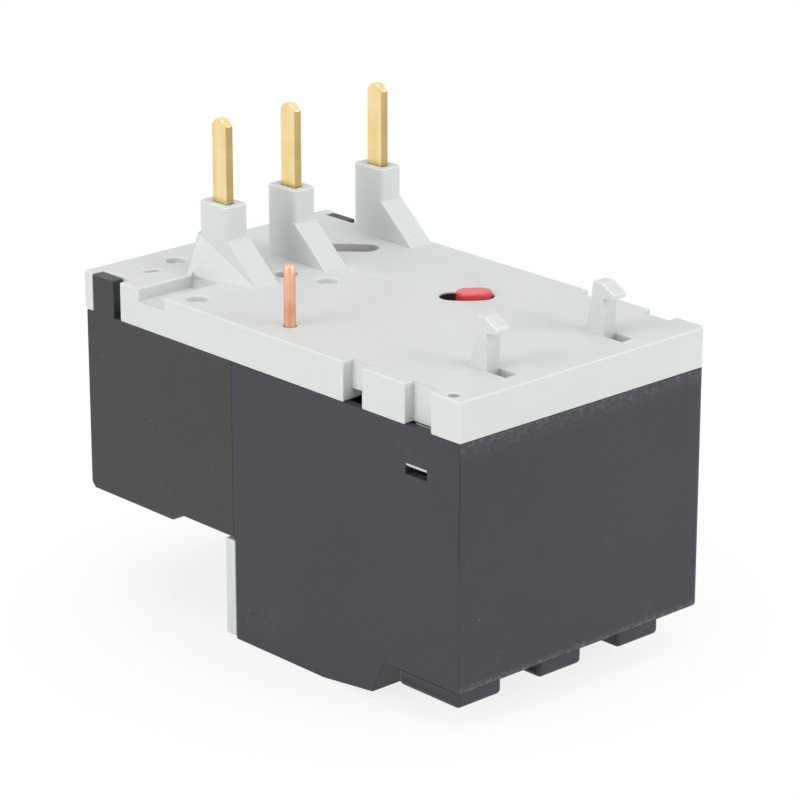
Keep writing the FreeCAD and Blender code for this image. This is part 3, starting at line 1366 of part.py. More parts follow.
def make_adjuster():
    """Lever that the dial's cam sets, its pivot pin, and the ambient compensation strip on it."""
    body = start("adjusting_lever")
    top = adjuster_underside + adjuster_thickness
    half = adjuster_bar_width / 2
    tip_x = dial_x + cam_radius + running_gap + fit_gap + half
    cam_rear = bulkhead_rear + running_gap + cam_length
    strip_face = compensator_x - compensator_thickness / 2
    tab_rear = compensator_front_y + adjuster_tab_length
    route = [(tip_x, cam_rear - cam_length), (tip_x, cam_rear), (adjuster_pivot_x, adjuster_pivot_y),
             (strip_face - half, compensator_front_y), (strip_face - half, tab_rear)]
    add_rod(body, "Z", adjuster_underside, top, adjuster_pivot_x, adjuster_pivot_y, pivot_boss_radius)
    pad(body, "Z", adjuster_underside, top, strip_outline(route, half * 2))
    tab_bottom = adjuster_underside - compensator_width
    add_box(body, (strip_face - half, compensator_front_y, tab_bottom), (strip_face, tab_rear, top))
    cut_holes(body, "Z", adjuster_underside - wall, top + wall,
              [(adjuster_pivot_x, adjuster_pivot_y, pivot_radius + pivot_clearance)])
    keep("adjuster_pivot", cylinder(pivot_radius, top + wall / 2 - front_floor, adjuster_pivot_x,
                                    adjuster_pivot_y, front_floor, "Z"))
    keep("compensation_strip", box(compensator_thickness, compensator_rear_y - compensator_front_y,
                                   compensator_width, strip_face, compensator_front_y,
                                   adjuster_underside - fit_gap - compensator_width))


# ---------------------------------------------------------------- controls

def make_dial():
    """Current-setting dial with its collar, shaft and eccentric cam."""
    body = start("setting_dial")
    collar_rear = collar_front + collar_thickness
    cam_front = bulkhead_rear + running_gap
    add_rod(body, "Y", front_face, collar_front, dial_x, control_height, dial_radius)
    add_rod(body, "Y", collar_front, collar_rear, dial_x, control_height, dial_collar_radius)
    add_rod(body, "Y", collar_rear, cam_front, dial_x, control_height, dial_shaft_radius)
    add_rod(body, "Y", cam_front, cam_front + cam_length, dial_x, control_height + cam_offset, cam_radius)
    low_z = control_height - dial_slot_below
    high_z = control_height + dial_slot_above
    half = dial_slot_width / 2
    pocket(body, "Y", front_face - wall, front_face + wall,
           [(dial_x - half, low_z), (dial_x + half, low_z), (dial_x + half, high_z),
            (dial_x - half, high_z)])


def make_button(label, x, radius, collar_radius, shaft_radius):
    """Push button with a collar behind the fascia and a shaft through the bulkhead."""
    body = start(label)
    collar_rear = collar_front + collar_thickness
    button_front = front_face - button_front_reach
    add_rod(body, "Y", button_front, collar_front, x, control_height, radius)
    add_rod(body, "Y", collar_front, collar_rear, x, control_height, collar_radius)
    add_rod(body, "Y", collar_rear, shaft_tip_y, x, control_height, shaft_radius)
    spring_radius = shaft_radius + spring_wire / 2 + running_gap
    make_spring(label.replace("button", "spring"), spring_radius, spring_wire,
                bulkhead_front_y - collar_rear, button_spring_turns, x, collar_rear, control_height, "Y")


# ---------------------------------------------------------------- build, check and write

def make_all():
    make_top_plate()
    make_rear_housing()
    make_front_housing()
    make_terminal_cover()
    make_control_fascia()
    for number, (pin_x, phase, terminal) in enumerate(zip(pins, phases, terminals), 1):
        make_phase_bar("phase_bar_%d" % number, pin_x, phase)
        make_bimetal("bimetal_%d" % number, phase)
        make_sleeve("heater_sleeve_%d" % number, phase)
        make_heater("heater_%d" % number, phase)
        make_terminal_bar("terminal_bar_%d" % number, phase, terminal)
    make_main_terminals()
    tongue_front = make_aux_terminals()
    make_contacts(tongue_front)
    make_coil_link_wire(tongue_front)
    make_carrier()
    make_bridges()
    make_trip_flag()
    make_trip_lever()
    boss_top = mechanism_floor + pivot_boss_height
    make_spring("trip_spring", pivot_radius + spring_wire, spring_wire,
                lever_underside - running_gap - boss_top, trip_spring_turns, lever_pivot_x,
                lever_pivot_y, boss_top, "Z")
    make_slides()
    make_adjuster()
    make_dial()
    make_button("reset_button", reset_x, reset_radius, reset_collar_radius, reset_shaft_radius)
    make_button("test_button", test_x, test_radius, test_collar_radius, test_shaft_radius)
    doc.recompute()


def check_all():
    """Stops at any failed feature, any pocket that cuts nothing and any sub-part that isn't sound."""
    for item in doc.Objects:
        if "Invalid" in item.State or "Error" in item.State:
            owners = ", ".join(owner.Label for owner in item.InList)
            raise RuntimeError("%s in %s failed: %s" % (item.Name, owners, item.State))
        if item.TypeId == "PartDesign::Pocket":
            removed = item.BaseFeature.Shape.Volume - item.Shape.Volume
            if removed < TOLERANCE:
                raise RuntimeError("%s cuts nothing" % item.Name)
    for node in nodes:
        if node.Shape.isNull() or not node.Shape.isValid():
            raise RuntimeError("%s has no valid shape" % node.Label)


def write_all():
    os.makedirs("parts", exist_ok=True)
    for node in nodes:
        node.Shape.exportStep("parts/%s.step" % node.Label)
        print("%-20s solids %d  volume %9.2f" % (node.Label, len(node.Shape.Solids), node.Shape.Volume))


make_all()
check_all()
write_all()
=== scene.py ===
import bmesh
import bpy
import json
import math
import numpy as np
from mathutils import Matrix, Vector


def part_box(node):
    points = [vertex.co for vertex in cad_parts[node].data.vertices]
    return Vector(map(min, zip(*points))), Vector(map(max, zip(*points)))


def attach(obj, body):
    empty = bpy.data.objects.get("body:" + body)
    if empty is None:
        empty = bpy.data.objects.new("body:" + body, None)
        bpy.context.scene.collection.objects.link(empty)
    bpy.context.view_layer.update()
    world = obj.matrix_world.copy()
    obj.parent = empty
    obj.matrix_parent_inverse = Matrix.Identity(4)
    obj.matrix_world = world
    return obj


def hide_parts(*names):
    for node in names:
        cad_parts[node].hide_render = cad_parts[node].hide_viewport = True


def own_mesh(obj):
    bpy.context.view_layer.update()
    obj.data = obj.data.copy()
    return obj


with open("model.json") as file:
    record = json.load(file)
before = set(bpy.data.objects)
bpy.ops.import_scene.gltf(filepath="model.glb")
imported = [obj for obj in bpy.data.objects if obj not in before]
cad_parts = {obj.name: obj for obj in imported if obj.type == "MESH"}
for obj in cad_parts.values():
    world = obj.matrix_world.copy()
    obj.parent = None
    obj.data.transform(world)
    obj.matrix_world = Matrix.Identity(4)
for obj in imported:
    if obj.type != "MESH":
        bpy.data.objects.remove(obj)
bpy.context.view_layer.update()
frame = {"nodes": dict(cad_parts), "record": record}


# ---------------------------------------------------------------- bench, daylight and camera
# The relay stands on its skirt on a plain white bench top, under broad soft light from above.
# The bench is white to the eye and still takes the relay's soft shadow.

def linear(text):
    """An sRGB colour written as six hex digits, turned to the linear values that the shader reads."""
    parts = np.array([int(text[i:i + 2], 16) for i in (0, 2, 4)]) / 255
    turned = np.where(parts <= 0.04045, parts / 12.92, ((parts + 0.055) / 1.055) ** 2.4)
    return (*[float(value) for value in turned], 1.0)


def add(tree, kind, links=None, values=None, **settings):
    """Adds a node to a tree, sets its settings and socket values, and links its inputs."""
    node = tree.nodes.new(kind)
    for name, value in settings.items():
        setattr(node, name, value)
    for name, value in (values or {}).items():
        node.inputs[name].default_value = value
    for name, source in (links or {}).items():
        tree.links.new(source, node.inputs[name])
    return node


def new_material(name):
    """An empty node material with its principled shader; gives the material, its tree and the shader."""
    material = bpy.data.materials.new(name)
    material.use_nodes = True
    tree = material.node_tree
    return material, tree, tree.nodes["Principled BSDF"]


def sheet_mesh(name, points, wrap_u=False, wrap_v=False, smooth=True):
    """A surface from a grid of points (rows u, columns v): each cell of the grid is one quad."""
    rows, columns = points.shape[:2]
    u = np.arange(rows if wrap_u else rows - 1)
    v = np.arange(columns if wrap_v else columns - 1)
    u0, v0 = np.meshgrid(u, v, indexing="ij")
    u1, v1 = (u0 + 1) % rows, (v0 + 1) % columns
    quads = np.stack([u0 * columns + v0, u1 * columns + v0, u1 * columns + v1, u0 * columns + v1],
                     -1)
    mesh = bpy.data.meshes.new(name)
    mesh.from_pydata(points.reshape(-1, 3).tolist(), [], quads.reshape(-1, 4).tolist())
    mesh.polygons.foreach_set("use_smooth", np.full(len(mesh.polygons), smooth))
    piece = bpy.data.objects.new(name, mesh)
    bpy.context.collection.objects.link(piece)
    return piece


# Flat for 0.9 m round the relay; from there z = 0.4 x (distance - 0.9) squared, in metres
half_bench, flat_bench, bench_rise = 1.6, 0.9, 0.4
grid = np.linspace(-half_bench, half_bench, 33)
across, along = np.meshgrid(grid, grid, indexing="ij")
past_flat = np.clip(np.hypot(across, along) - flat_bench, 0, None)
bench = sheet_mesh("bench_top", np.stack([across, along, past_flat ** 2 * bench_rise], -1))

bench_paint, tree, shader = new_material("matt_white_laminate")
shader.inputs["Roughness"].default_value = 0.9
shader.inputs["Specular IOR Level"].default_value = 0.1
shader.inputs["Base Color"].default_value = linear("F4F4F4")
seen = add(tree, "ShaderNodeLightPath")
near_relay = add(tree, "ShaderNodeTexCoord")
glow = add(tree, "ShaderNodeEmission", values={"Color": linear("FFFFFF"), "Strength": 1.0})
# the bench glows white to the eye; within 56 mm of the relay's middle it keeps part of the shadow
distance = add(tree, "ShaderNodeVectorMath", {0: near_relay.outputs["Object"]}, operation="LENGTH")
fade = add(tree, "ShaderNodeMapRange", {"Value": distance.outputs["Value"]},
           {"From Min": 0.03, "From Max": 0.056, "To Min": 0.82, "To Max": 1.0})
eye = add(tree, "ShaderNodeMath", {0: seen.outputs["Is Camera Ray"], 1: seen.outputs["Is Glossy Ray"]},
          operation="MAXIMUM")
share = add(tree, "ShaderNodeMath", {0: eye.outputs[0], 1: fade.outputs[0]}, operation="MULTIPLY")
mixed = add(tree, "ShaderNodeMixShader", {"Fac": share.outputs[0], 1: shader.outputs[0],
                                          2: glow.outputs[0]})
tree.links.new(mixed.outputs[0], tree.nodes["Material Output"].inputs["Surface"])
bench.data.materials.append(bench_paint)

world = bpy.data.worlds.new("white_room")
bpy.context.scene.world = world
world.use_nodes = True
tree = world.node_tree
back = tree.nodes["Background"]
back.inputs["Color"].default_value = linear("FFFFFF")
seen = add(tree, "ShaderNodeLightPath")
eye = add(tree, "ShaderNodeMath", {0: seen.outputs["Is Camera Ray"], 1: seen.outputs["Is Glossy Ray"]},
          operation="MAXIMUM")
eye = add(tree, "ShaderNodeMath", {0: eye.outputs[0], 1: seen.outputs["Is Transmission Ray"]},
          operation="MAXIMUM")
strength = add(tree, "ShaderNodeMapRange", {"Value": eye.outputs[0]}, {"To Min": 0.4, "To Max": 1.0})
tree.links.new(strength.outputs[0], back.inputs["Strength"])


def soft_lamp(name, place, aim, size, power):
    """A square soft box at a place, turned to its aim."""
    lamp = bpy.data.lights.new(name, "AREA")
    lamp.size = size
    lamp.energy = power
    holder = bpy.data.objects.new(name, lamp)
    holder.location = place
    holder.rotation_euler = (Vector(aim) - Vector(place)).to_track_quat("-Z", "Y").to_euler()
    bpy.context.collection.objects.link(holder)


# One box above the relay, one at its right-hand side, and one behind it, where the camera stands
soft_lamp("overhead_box", (0.05, 0.10, 0.75), (0, 0, 0.03), 0.7, 2.3)
soft_lamp("right_box", (0.75, -0.15, 0.35), (0, 0, 0.03), 0.6, 3.3)
soft_lamp("rear_box", (-0.30, 0.75, 0.30), (0, 0, 0.03), 0.6, 3.0)

# A long lens half a metre away, off the right rear corner, looking down at 19 degrees
lens = bpy.data.cameras.new("table_camera")
lens.lens = 159.07
lens.sensor_width = 36
lens.clip_start = 0.01
camera = bpy.data.objects.new("table_camera", lens)
camera.location = (0.30819, 0.336995, 0.19074)
camera.rotation_euler = Vector((-0.6395, -0.6942, -0.3304)).to_track_quat("-Z", "Y").to_euler()
bpy.context.collection.objects.link(camera)
bpy.context.scene.camera = camera
bpy.context.scene.view_settings.view_transform = "Standard"


# ---------------------------------------------------------------- light grey plate
# The cover that meets the contactor: one moulding in light grey PBT, with columns round the pins.
# Its surface is spark-eroded to an even satin, and every edge of the tool leaves a small radius.

MM = 0.001  # metres in a millimetre
nodes = frame["nodes"]


def edge_rounded(node, body, width, material, edge_material=None, segments=2,
                 cut_shade_material=None):
    """A copy of a CAD node with its edges rounded as a mould rounds them; it stands for the node.
    An outward edge's radius is width, in millimetres, or 0.45 of the room beside it where that is
    less. It is nothing where two edges leave a corner at under 17 degrees or more than three meet.
    Faces square to the Y axis take the third material where it is given: a strip's sheared edges,
    duller, and darker as painted shade."""
    mesh = nodes[node].data.copy()
    mesh.name = node + "_shell"
    mesh.materials.clear()
    work = bmesh.new()
    work.from_mesh(mesh)
    bmesh.ops.remove_doubles(work, verts=work.verts, dist=0.000002)
    bmesh.ops.dissolve_limit(work, angle_limit=math.radians(1.0), verts=work.verts,
                             edges=work.edges)
    for face in work.faces:
        face.smooth = True
        face.material_index = 2 if cut_shade_material and abs(face.normal.y) > 0.9 else 0
    weight = work.edges.layers.float.new("bevel_weight_edge")
    for edge in work.edges:
        edge.smooth = len(edge.link_faces) == 2 and edge.calc_face_angle(3.0) < math.radians(28)
    for edge in work.edges:
        room = 0.0 if edge.smooth or not edge.is_convex else width * MM
        for corner in edge.verts:
            along = (edge.other_vert(corner).co - corner.co).normalized()
            if sum(not beside.smooth for beside in corner.link_edges) > 3:
                room = 0.0
            for beside in corner.link_edges:
                away = beside.other_vert(corner).co - corner.co
                square = along.cross(away).length
                if square > 0.3 * away.length:
                    room = min(room, 0.45 * square)
                elif beside is not edge and not beside.smooth and along.dot(away) > 0:
                    room = 0.0
        edge[weight] = room / (width * MM)
    work.to_mesh(mesh)
    work.free()
    mesh.materials.append(material)
    mesh.materials.append(edge_material or material)
    if cut_shade_material:
        mesh.materials.append(cut_shade_material)
    piece = bpy.data.objects.new(node + "_shell", mesh)
    bpy.context.collection.objects.link(piece)
    bevel = piece.modifiers.new("mould_radius", "BEVEL")
    bevel.width = width * MM
    bevel.segments = segments
    bevel.limit_method = "WEIGHT"
    bevel.use_clamp_overlap = False
    bevel.loop_slide = False
    bevel.material = 1
    bevel.harden_normals = True
    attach(piece, body)
    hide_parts(node)


def moulded_plastic(name, colour, shade, roughness, grain, depth, fleck=None, scuff=0.0, rubbed=None,
                    gloss=0.5):
    """Moulded thermoplastic: two close shades that drift over 20 mm, under a satin spark-eroded grain.
    grain is the width of the surface's cells and depth their height, both in millimetres. fleck is
    the colour of settled dust, scuff the strength of handling smears, and rubbed the colour of the
    wear along the foot and the top edge of the relay's rear face."""
    material, tree, shader = new_material(name)
    place = add(tree, "ShaderNodeTexCoord").outputs["Object"]
    cloud = add(tree, "ShaderNodeTexNoise", {"Vector": place}, {"Scale": 45.0, "Detail": 5.0,
                                                                "Roughness": 0.6})
    layers = [(add(tree, "ShaderNodeMapRange", {"Value": cloud.outputs["Fac"]},
                   {"From Min": 0.3, "From Max": 0.7}).outputs[0], shade)]
    if fleck:
        # dust settles as single specks about 0.3 mm wide, a centimetre or so apart
        dust = add(tree, "ShaderNodeTexVoronoi", {"Vector": place}, {"Scale": 260.0})
        speck = add(tree, "ShaderNodeMapRange", {"Value": dust.outputs["Distance"]},
                    {"From Min": 0.035, "From Max": 0.055, "To Min": 0.55, "To Max": 0.0})
        chosen = add(tree, "ShaderNodeSeparateColor", {"Color": dust.outputs["Color"]})
        rare = add(tree, "ShaderNodeMath", {0: chosen.outputs[0]}, {1: 0.86}, operation="GREATER_THAN")
        layers.append((add(tree, "ShaderNodeMath", {0: speck.outputs[0], 1: rare.outputs[0]},
                           operation="MULTIPLY").outputs[0], fleck))
    if scuff:
        # handling leaves faint smears, 0.4 mm wide and 1.2 mm long, gathered in patches of 13 mm
        drawn = add(tree, "ShaderNodeMapping", {"Vector": place}, {"Scale": (2600.0, 2600.0, 800.0),
                                                                   "Rotation": (0.25, 0.2, 0.0)})
        smears = add(tree, "ShaderNodeTexNoise", {"Vector": drawn.outputs[0]}, {"Scale": 1.0,
                                                                                "Detail": 2.0})
        patch = add(tree, "ShaderNodeTexNoise", {"Vector": place}, {"Scale": 75.0, "Detail": 3.0})
        both = add(tree, "ShaderNodeMath", {0: smears.outputs["Fac"], 1: patch.outputs["Fac"]},
                   operation="MULTIPLY")
        layers.append((add(tree, "ShaderNodeMapRange", {"Value": both.outputs[0]},
                           {"From Min": 0.34, "From Max": 0.46, "To Max": scuff}).outputs[0],
                       "A2A2A4"))
    if rubbed:
        # the rear face rubs on a shelf: its foot and its top edge go pale, broken into 0.7 mm marks
        axes = add(tree, "ShaderNodeSeparateXYZ", {"Vector": place})
        face = add(tree, "ShaderNodeMapRange", {"Value": axes.outputs["Y"]},
                   {"From Min": 0.03779, "From Max": 0.03785})
        foot = add(tree, "ShaderNodeMapRange", {"Value": axes.outputs["Z"]},
                   {"From Min": 0.0060, "From Max": 0.0071, "To Min": 0.5, "To Max": 0.0})
        head = add(tree, "ShaderNodeMapRange", {"Value": axes.outputs["Z"]},
                   {"From Min": 0.0372, "From Max": 0.0399, "To Min": 0.0, "To Max": 0.22})
        ends = add(tree, "ShaderNodeMath", {0: foot.outputs[0], 1: head.outputs[0]}, operation="ADD")
        worn = add(tree, "ShaderNodeTexNoise", {"Vector": place}, {"Scale": 1500.0, "Detail": 5.0})
        broken = add(tree, "ShaderNodeMapRange", {"Value": worn.outputs["Fac"]},
                     {"From Min": 0.47, "From Max": 0.64, "To Min": 0.18, "To Max": 1.0})
        wear = add(tree, "ShaderNodeMath", {0: ends.outputs[0], 1: broken.outputs[0]},
                   operation="MULTIPLY")
        layers.append((add(tree, "ShaderNodeMath", {0: face.outputs[0], 1: wear.outputs[0]},
                           operation="MULTIPLY").outputs[0], rubbed))
    coat = None
    for share, tone in layers:
        blend = add(tree, "ShaderNodeMix", {"Factor": share}, data_type="RGBA")
        if coat:
            tree.links.new(coat, blend.inputs[6])
        else:
            blend.inputs[6].default_value = linear(colour)
        blend.inputs[7].default_value = linear(tone)
        coat = blend.outputs[2]
    tree.links.new(coat, shader.inputs["Base Color"])
    rough = add(tree, "ShaderNodeMapRange", {"Value": cloud.outputs["Fac"]},
                {"From Min": 0.3, "From Max": 0.7, "To Min": roughness - 0.05,
                 "To Max": roughness + 0.07})
    tree.links.new(rough.outputs[0], shader.inputs["Roughness"])
    cells = add(tree, "ShaderNodeTexNoise", {"Vector": place}, {"Scale": 1000.0 / grain, "Detail": 2.0})
    relief = add(tree, "ShaderNodeBump", {"Height": cells.outputs["Fac"]},
                 {"Strength": 0.5, "Distance": depth * MM})
    tree.links.new(relief.outputs[0], shader.inputs["Normal"])
    shader.inputs["IOR"].default_value = 1.5
    shader.inputs["Specular IOR Level"].default_value = gloss
    return material


plate_plastic = moulded_plastic("satin_light_grey_pbt", "D6DAD8", "D1D5D4", 0.48, 0.35, 0.012,
                                fleck="B4B5B1")
# the rounded edges are a touch lighter and smoother than the faces: a painted highlight, partly wear
plate_edges = moulded_plastic("edge_highlight_light_grey_pbt", "DDE0DE", "D8DCDA", 0.4, 0.5, 0.006)
edge_rounded("top_plate", "case", 0.22, plate_plastic, plate_edges)


# ---------------------------------------------------------------- dark housings
# Two mouldings in charcoal glass-filled polyamide: the rear one a little bluer than the front one.
# Handling leaves faint smears on the flat faces, and the rear face is rubbed along its foot.

rear_plastic = moulded_plastic("charcoal_polyamide_rear", "38373D", "3D3C42", 0.46, 0.4, 0.014,
                               fleck="6E6E70", scuff=0.035, rubbed="8E8E92", gloss=0.3)
# the rounded edges are darker than the faces as painted shade, mottled lighter, and pale where rubbed
rear_edges = moulded_plastic("edge_shade_and_wear_polyamide_rear", "29282D", "47464C", 0.42, 0.5, 0.006,
                             rubbed="A0A0A4", gloss=0.3)
edge_rounded("rear_housing", "case", 0.2, rear_plastic, rear_edges)

front_plastic = moulded_plastic("charcoal_polyamide_front", "383838", "3E3E3E", 0.46, 0.4, 0.014,
                                fleck="6C6C6C", scuff=0.03, gloss=0.3)
# the rounded edges are a touch lighter than the faces: a painted highlight, partly wear
front_edges = moulded_plastic("edge_highlight_polyamide_front", "3C3C3C", "414141", 0.4, 0.5, 0.006,
                              gloss=0.35)
edge_rounded("front_housing", "case", 0.2, front_plastic, front_edges)


# ---------------------------------------------------------------- terminal cover and fascia
# Two flat mouldings in the plate's light grey PBT: the cover stands in front of the main terminals,
# and the fascia lies in the front housing's window with holes for the dial, the flag and the buttons.

# the rounded edges of both carry the plate's lighter edge tone, a painted highlight
edge_rounded("terminal_cover", "case", 0.2, plate_plastic, plate_edges)
edge_rounded("control_fascia", "case", 0.06, plate_plastic, plate_edges)


# ---------------------------------------------------------------- collar in the arc slot, snap noses
# A dark collar lines the walls of the plate's arc slot, so that they show as dark as the shade down in
# the slot: painted shade.
# The tips of the plate's two snap arms show as pale lines at the top of the housing's snap slots.

def arc_collar(name, pivot, radius, angles, half_width, wall, low, high):
    """A thin ring inside an arc slot with round ends. The outline goes along the outer arc, round the
    end, back along the inner arc and round the start; the wall is a rectangle carried along it.
    Sizes are in millimetres, angles in degrees."""
    start, end = np.radians(angles)
    along = np.linspace(start, end, 16)
    cap = np.linspace(0, np.pi, 15)[1:-1]
    middle = np.concatenate([along, np.full(len(cap), end), along[::-1], np.full(len(cap), start)])
    facing = np.concatenate([along, end + cap, along[::-1] + np.pi, start + np.pi + cap])
    spine = np.stack([np.cos(middle), np.sin(middle)], -1) * radius + pivot
    outward = np.stack([np.cos(facing), np.sin(facing)], -1)
    corners = [(half_width, high), (half_width - wall, high), (half_width - wall, low),
               (half_width, low)]
    rings = [np.concatenate([spine + outward * reach, np.full((len(spine), 1), level)], -1)
             for reach, level in corners]
    return sheet_mesh(name, np.stack(rings, 1) * MM, wrap_u=True, wrap_v=True, smooth=False)


def close_up(piece):
    """Merges points within 2 micrometres, which closes seams and poles, and turns faces outwards."""
    work = bmesh.new()
    work.from_mesh(piece.data)
    bmesh.ops.remove_doubles(work, verts=work.verts, dist=0.000002)
    bmesh.ops.recalc_face_normals(work, faces=work.faces)
    work.to_mesh(piece.data)
    work.free()


lever_pivot = [(low + high) / 2 / MM for low, high in zip(*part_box("trip_pivot"))]
plate_top = 45.6  # upper face of the plate above the bench, mm
slot_radius = 9.0  # from the lever's pivot to the middle of the arc slot, mm
slot_ends = (36.6, 59.4)  # degrees round the pivot
# the collar's dark plastic is painted shade on the slot's light grey walls
collar = arc_collar("slot_shade_collar", np.array(lever_pivot[:2]), slot_radius, slot_ends,
                    half_width=2.01, wall=0.17, low=plate_top - 2.4, high=plate_top - 0.3)
collar.data.materials.append(front_plastic)
close_up(collar)
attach(collar, "case")

housing_side, housing_rear = (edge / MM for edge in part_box("rear_housing")[1][:2])
nose_rear = housing_rear - 6.2
nose_front = nose_rear - 3.85
nose_top = 34.87
nose_root, nose_tip = housing_side - 0.6, housing_side - 0.16
# a wedge: its profile across the relay is carried along Y, and each end closes in a point at its middle
profile = np.array([(nose_root, nose_top), (nose_tip, nose_top), (nose_tip, nose_top - 0.2),
                    (nose_root, nose_top - 0.55)])
for hand, name in ((1, "snap_nose_right"), (-1, "snap_nose_left")):
    rows = np.stack([np.stack([profile[:, 0] * hand, np.full(4, y), profile[:, 1]], -1)
                     for y in (nose_front, nose_front, nose_rear, nose_rear)])
    rows[[0, 3]] = rows[[0, 3]].mean(axis=1, keepdims=True)
    nose = sheet_mesh(name, rows * MM, wrap_v=True, smooth=False)
    nose.data.materials.append(plate_plastic)
    close_up(nose)
    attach(nose, "case")


# ---------------------------------------------------------------- contact pins
# Three blades of half-hard brass strip, punched and then coined, so the long edges and tip are broken.
# Rolled brass is bright with faint lines along the strip; a thin film of oxide warms it.

def rolled_metal(name, colour, shade, roughness, stretch, grain=600.0):
    """Bright rolled or drawn metal: two shades in long streaks, with the roughness following them.
    grain is how many streaks lie side by side in a metre; stretch draws them out along an axis."""
    material, tree, shader = new_material(name)
    place = add(tree, "ShaderNodeTexCoord").outputs["Object"]
    drawn = add(tree, "ShaderNodeMapping", {"Vector": place}, {"Scale": stretch})
    streaks = add(tree, "ShaderNodeTexNoise", {"Vector": drawn.outputs[0]}, {"Scale": grain,
                                                                             "Detail": 4.0})
    film = add(tree, "ShaderNodeTexNoise", {"Vector": place}, {"Scale": 220.0, "Detail": 3.0})
    blend = add(tree, "ShaderNodeMath", {0: streaks.outputs["Fac"], 1: film.outputs["Fac"]},
                operation="MULTIPLY")
    share = add(tree, "ShaderNodeMapRange", {"Value": blend.outputs[0]},
                {"From Min": 0.15, "From Max": 0.38})
    base = add(tree, "ShaderNodeMix", {"Factor": share.outputs[0]}, data_type="RGBA")
    base.inputs[6].default_value = linear(colour)
    base.inputs[7].default_value = linear(shade)
    tree.links.new(base.outputs[2], shader.inputs["Base Color"])
    rough = add(tree, "ShaderNodeMapRange", {"Value": streaks.outputs["Fac"]},
                {"To Min": roughness - 0.08, "To Max": roughness + 0.1})
    tree.links.new(rough.outputs[0], shader.inputs["Roughness"])
    relief = add(tree, "ShaderNodeBump", {"Height": streaks.outputs["Fac"]},
                 {"Strength": 0.35, "Distance": 0.01 * MM})
    tree.links.new(relief.outputs[0], shader.inputs["Normal"])
    shader.inputs["Metallic"].default_value = 1.0
    return material


brass = rolled_metal("bright_rolled_brass", "F6E1AC", "EACD86", 0.26, (1.0, 1.0, 0.06))
# the punch leaves the strip's narrow edges sheared and duller than the rolled faces; their darker colour
# is painted shade
sheared_shaded_brass = rolled_metal("sheared_edge_painted_shade_brass", "BBA470", "A58D58", 0.4, (1.0, 1.0, 0.06))
for number in (1, 2, 3):
    edge_rounded("phase_bar_%d" % number, "case", 0.14, brass, segments=3,
                 cut_shade_material=sheared_shaded_brass)


# ---------------------------------------------------------------- link wire to the coil
# Bare 1.6 mm copper wire, drawn, cut square with its burr turned off, bent once inside the relay.
# Fresh drawn copper is salmon pink with fine lines along it, and darker where fingers have held it.

copper = rolled_metal("bright_drawn_copper", "F4C2AA", "E5A282", 0.3, (1.0, 1.0, 0.05))


def round_wire(name, route, radius, sides=40):
    """A round bar swept along a smooth route: point (u, v) is route(u) plus radius(u) times cos v
    sideways and sin v upwards, both square to the route's own direction."""
    step = np.gradient(route, axis=0)
    step /= np.linalg.norm(step, axis=1)[:, None]
    side = np.tile(np.array([1.0, 0.0, 0.0]), (len(route), 1))
    up = np.cross(step, side)
    turn = np.linspace(0, 2 * np.pi, sides, endpoint=False)[None, :, None]
    rings = route[:, None] + radius[:, None, None] * (np.cos(turn) * side[:, None]
                                                      + np.sin(turn) * up[:, None])
    return sheet_mesh(name, rings, wrap_v=True)


low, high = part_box("coil_link_wire")
wire_radius = 0.8 * MM
bend = 3.0 * MM
wire_x = (low[0] + high[0]) / 2
lead_y = high[1] - wire_radius
run_z = low[2] + wire_radius
turn = np.linspace(0, np.pi / 2, 17)
# from the terminal to the rear, a quarter turn upwards, up through the plate, and the turned-off tip
route = np.concatenate([
    np.array([[wire_x, y, run_z] for y in np.linspace(low[1], lead_y - bend, 6)[:-1]]),
    np.stack([np.full(len(turn), wire_x), lead_y - bend + bend * np.sin(turn),
              run_z + bend - bend * np.cos(turn)], -1),
    np.array([[wire_x, lead_y, z] for z in np.linspace(run_z + bend, high[2] - 0.18 * MM, 20)[1:]]),
    np.array([[wire_x, lead_y, high[2] - 0.12 * MM], [wire_x, lead_y, high[2] - 0.04 * MM],
              [wire_x, lead_y, high[2]], [wire_x, lead_y, high[2] + 0.0000001]])])
tip_shares = [0.97, 0.88, 0.72, 0.001]
radii = np.full(len(route), wire_radius)
radii[-4:] = [wire_radius * share for share in tip_shares]
# both cut ends are flat: the last ring is nearly a point, just past the ring before it, and is closed
radii[0] = wire_radius * tip_shares[-1]
route[1] = route[0] + np.array([0, 0.0000001, 0])
wire = round_wire("bare_link_wire", route, radii)
close_up(wire)
wire.data.materials.append(copper)
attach(wire, "case")
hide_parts("coil_link_wire")


# ---------------------------------------------------------------- red trip lever
# Lever in signal-red acetal, glossy where it shows in the plate's arc slot.
# Acetal leaves the polished tool with a high gloss and hardly any grain, so the top catches the light.

red_plastic = moulded_plastic("signal_red_acetal", "DC323F", "D02937", 0.22, 0.6, 0.008)
red_plastic.node_tree.nodes["Principled BSDF"].inputs["Coat Weight"].default_value = 0.25
edge_rounded("trip_lever", "trip_lever", 0.25, red_plastic, segments=3)


# ---------------------------------------------------------------- dial, buttons and flag
# The current dial is ivory acetal, the reset button blue and the test button red, all glossy.
# Each is moulded with a broken rim, and turns or slides in its own hole of the fascia.

ivory = moulded_plastic("ivory_acetal", "E9E7DE", "E0DED4", 0.3, 0.5, 0.006)
blue = moulded_plastic("blue_acetal", "2A57A0", "244D93", 0.28, 0.5, 0.006)
orange = moulded_plastic("orange_acetal", "F08A1C", "E37D12", 0.3, 0.5, 0.006)
edge_rounded("setting_dial", "setting_dial", 0.3, ivory, segments=3)
edge_rounded("reset_button", "reset_button", 0.35, blue, segments=3)
edge_rounded("test_button", "test_button", 0.35, red_plastic, segments=3)
edge_rounded("trip_flag", "contact_carrier", 0.12, orange)


# ---------------------------------------------------------------- printed numbers and scale
# Plain terminal numbers and the dial's scale, pad-printed in one ink film about 0.02 mm thick.
# White ink on the dark housing and charcoal ink on the light grey and ivory parts, slightly satin.

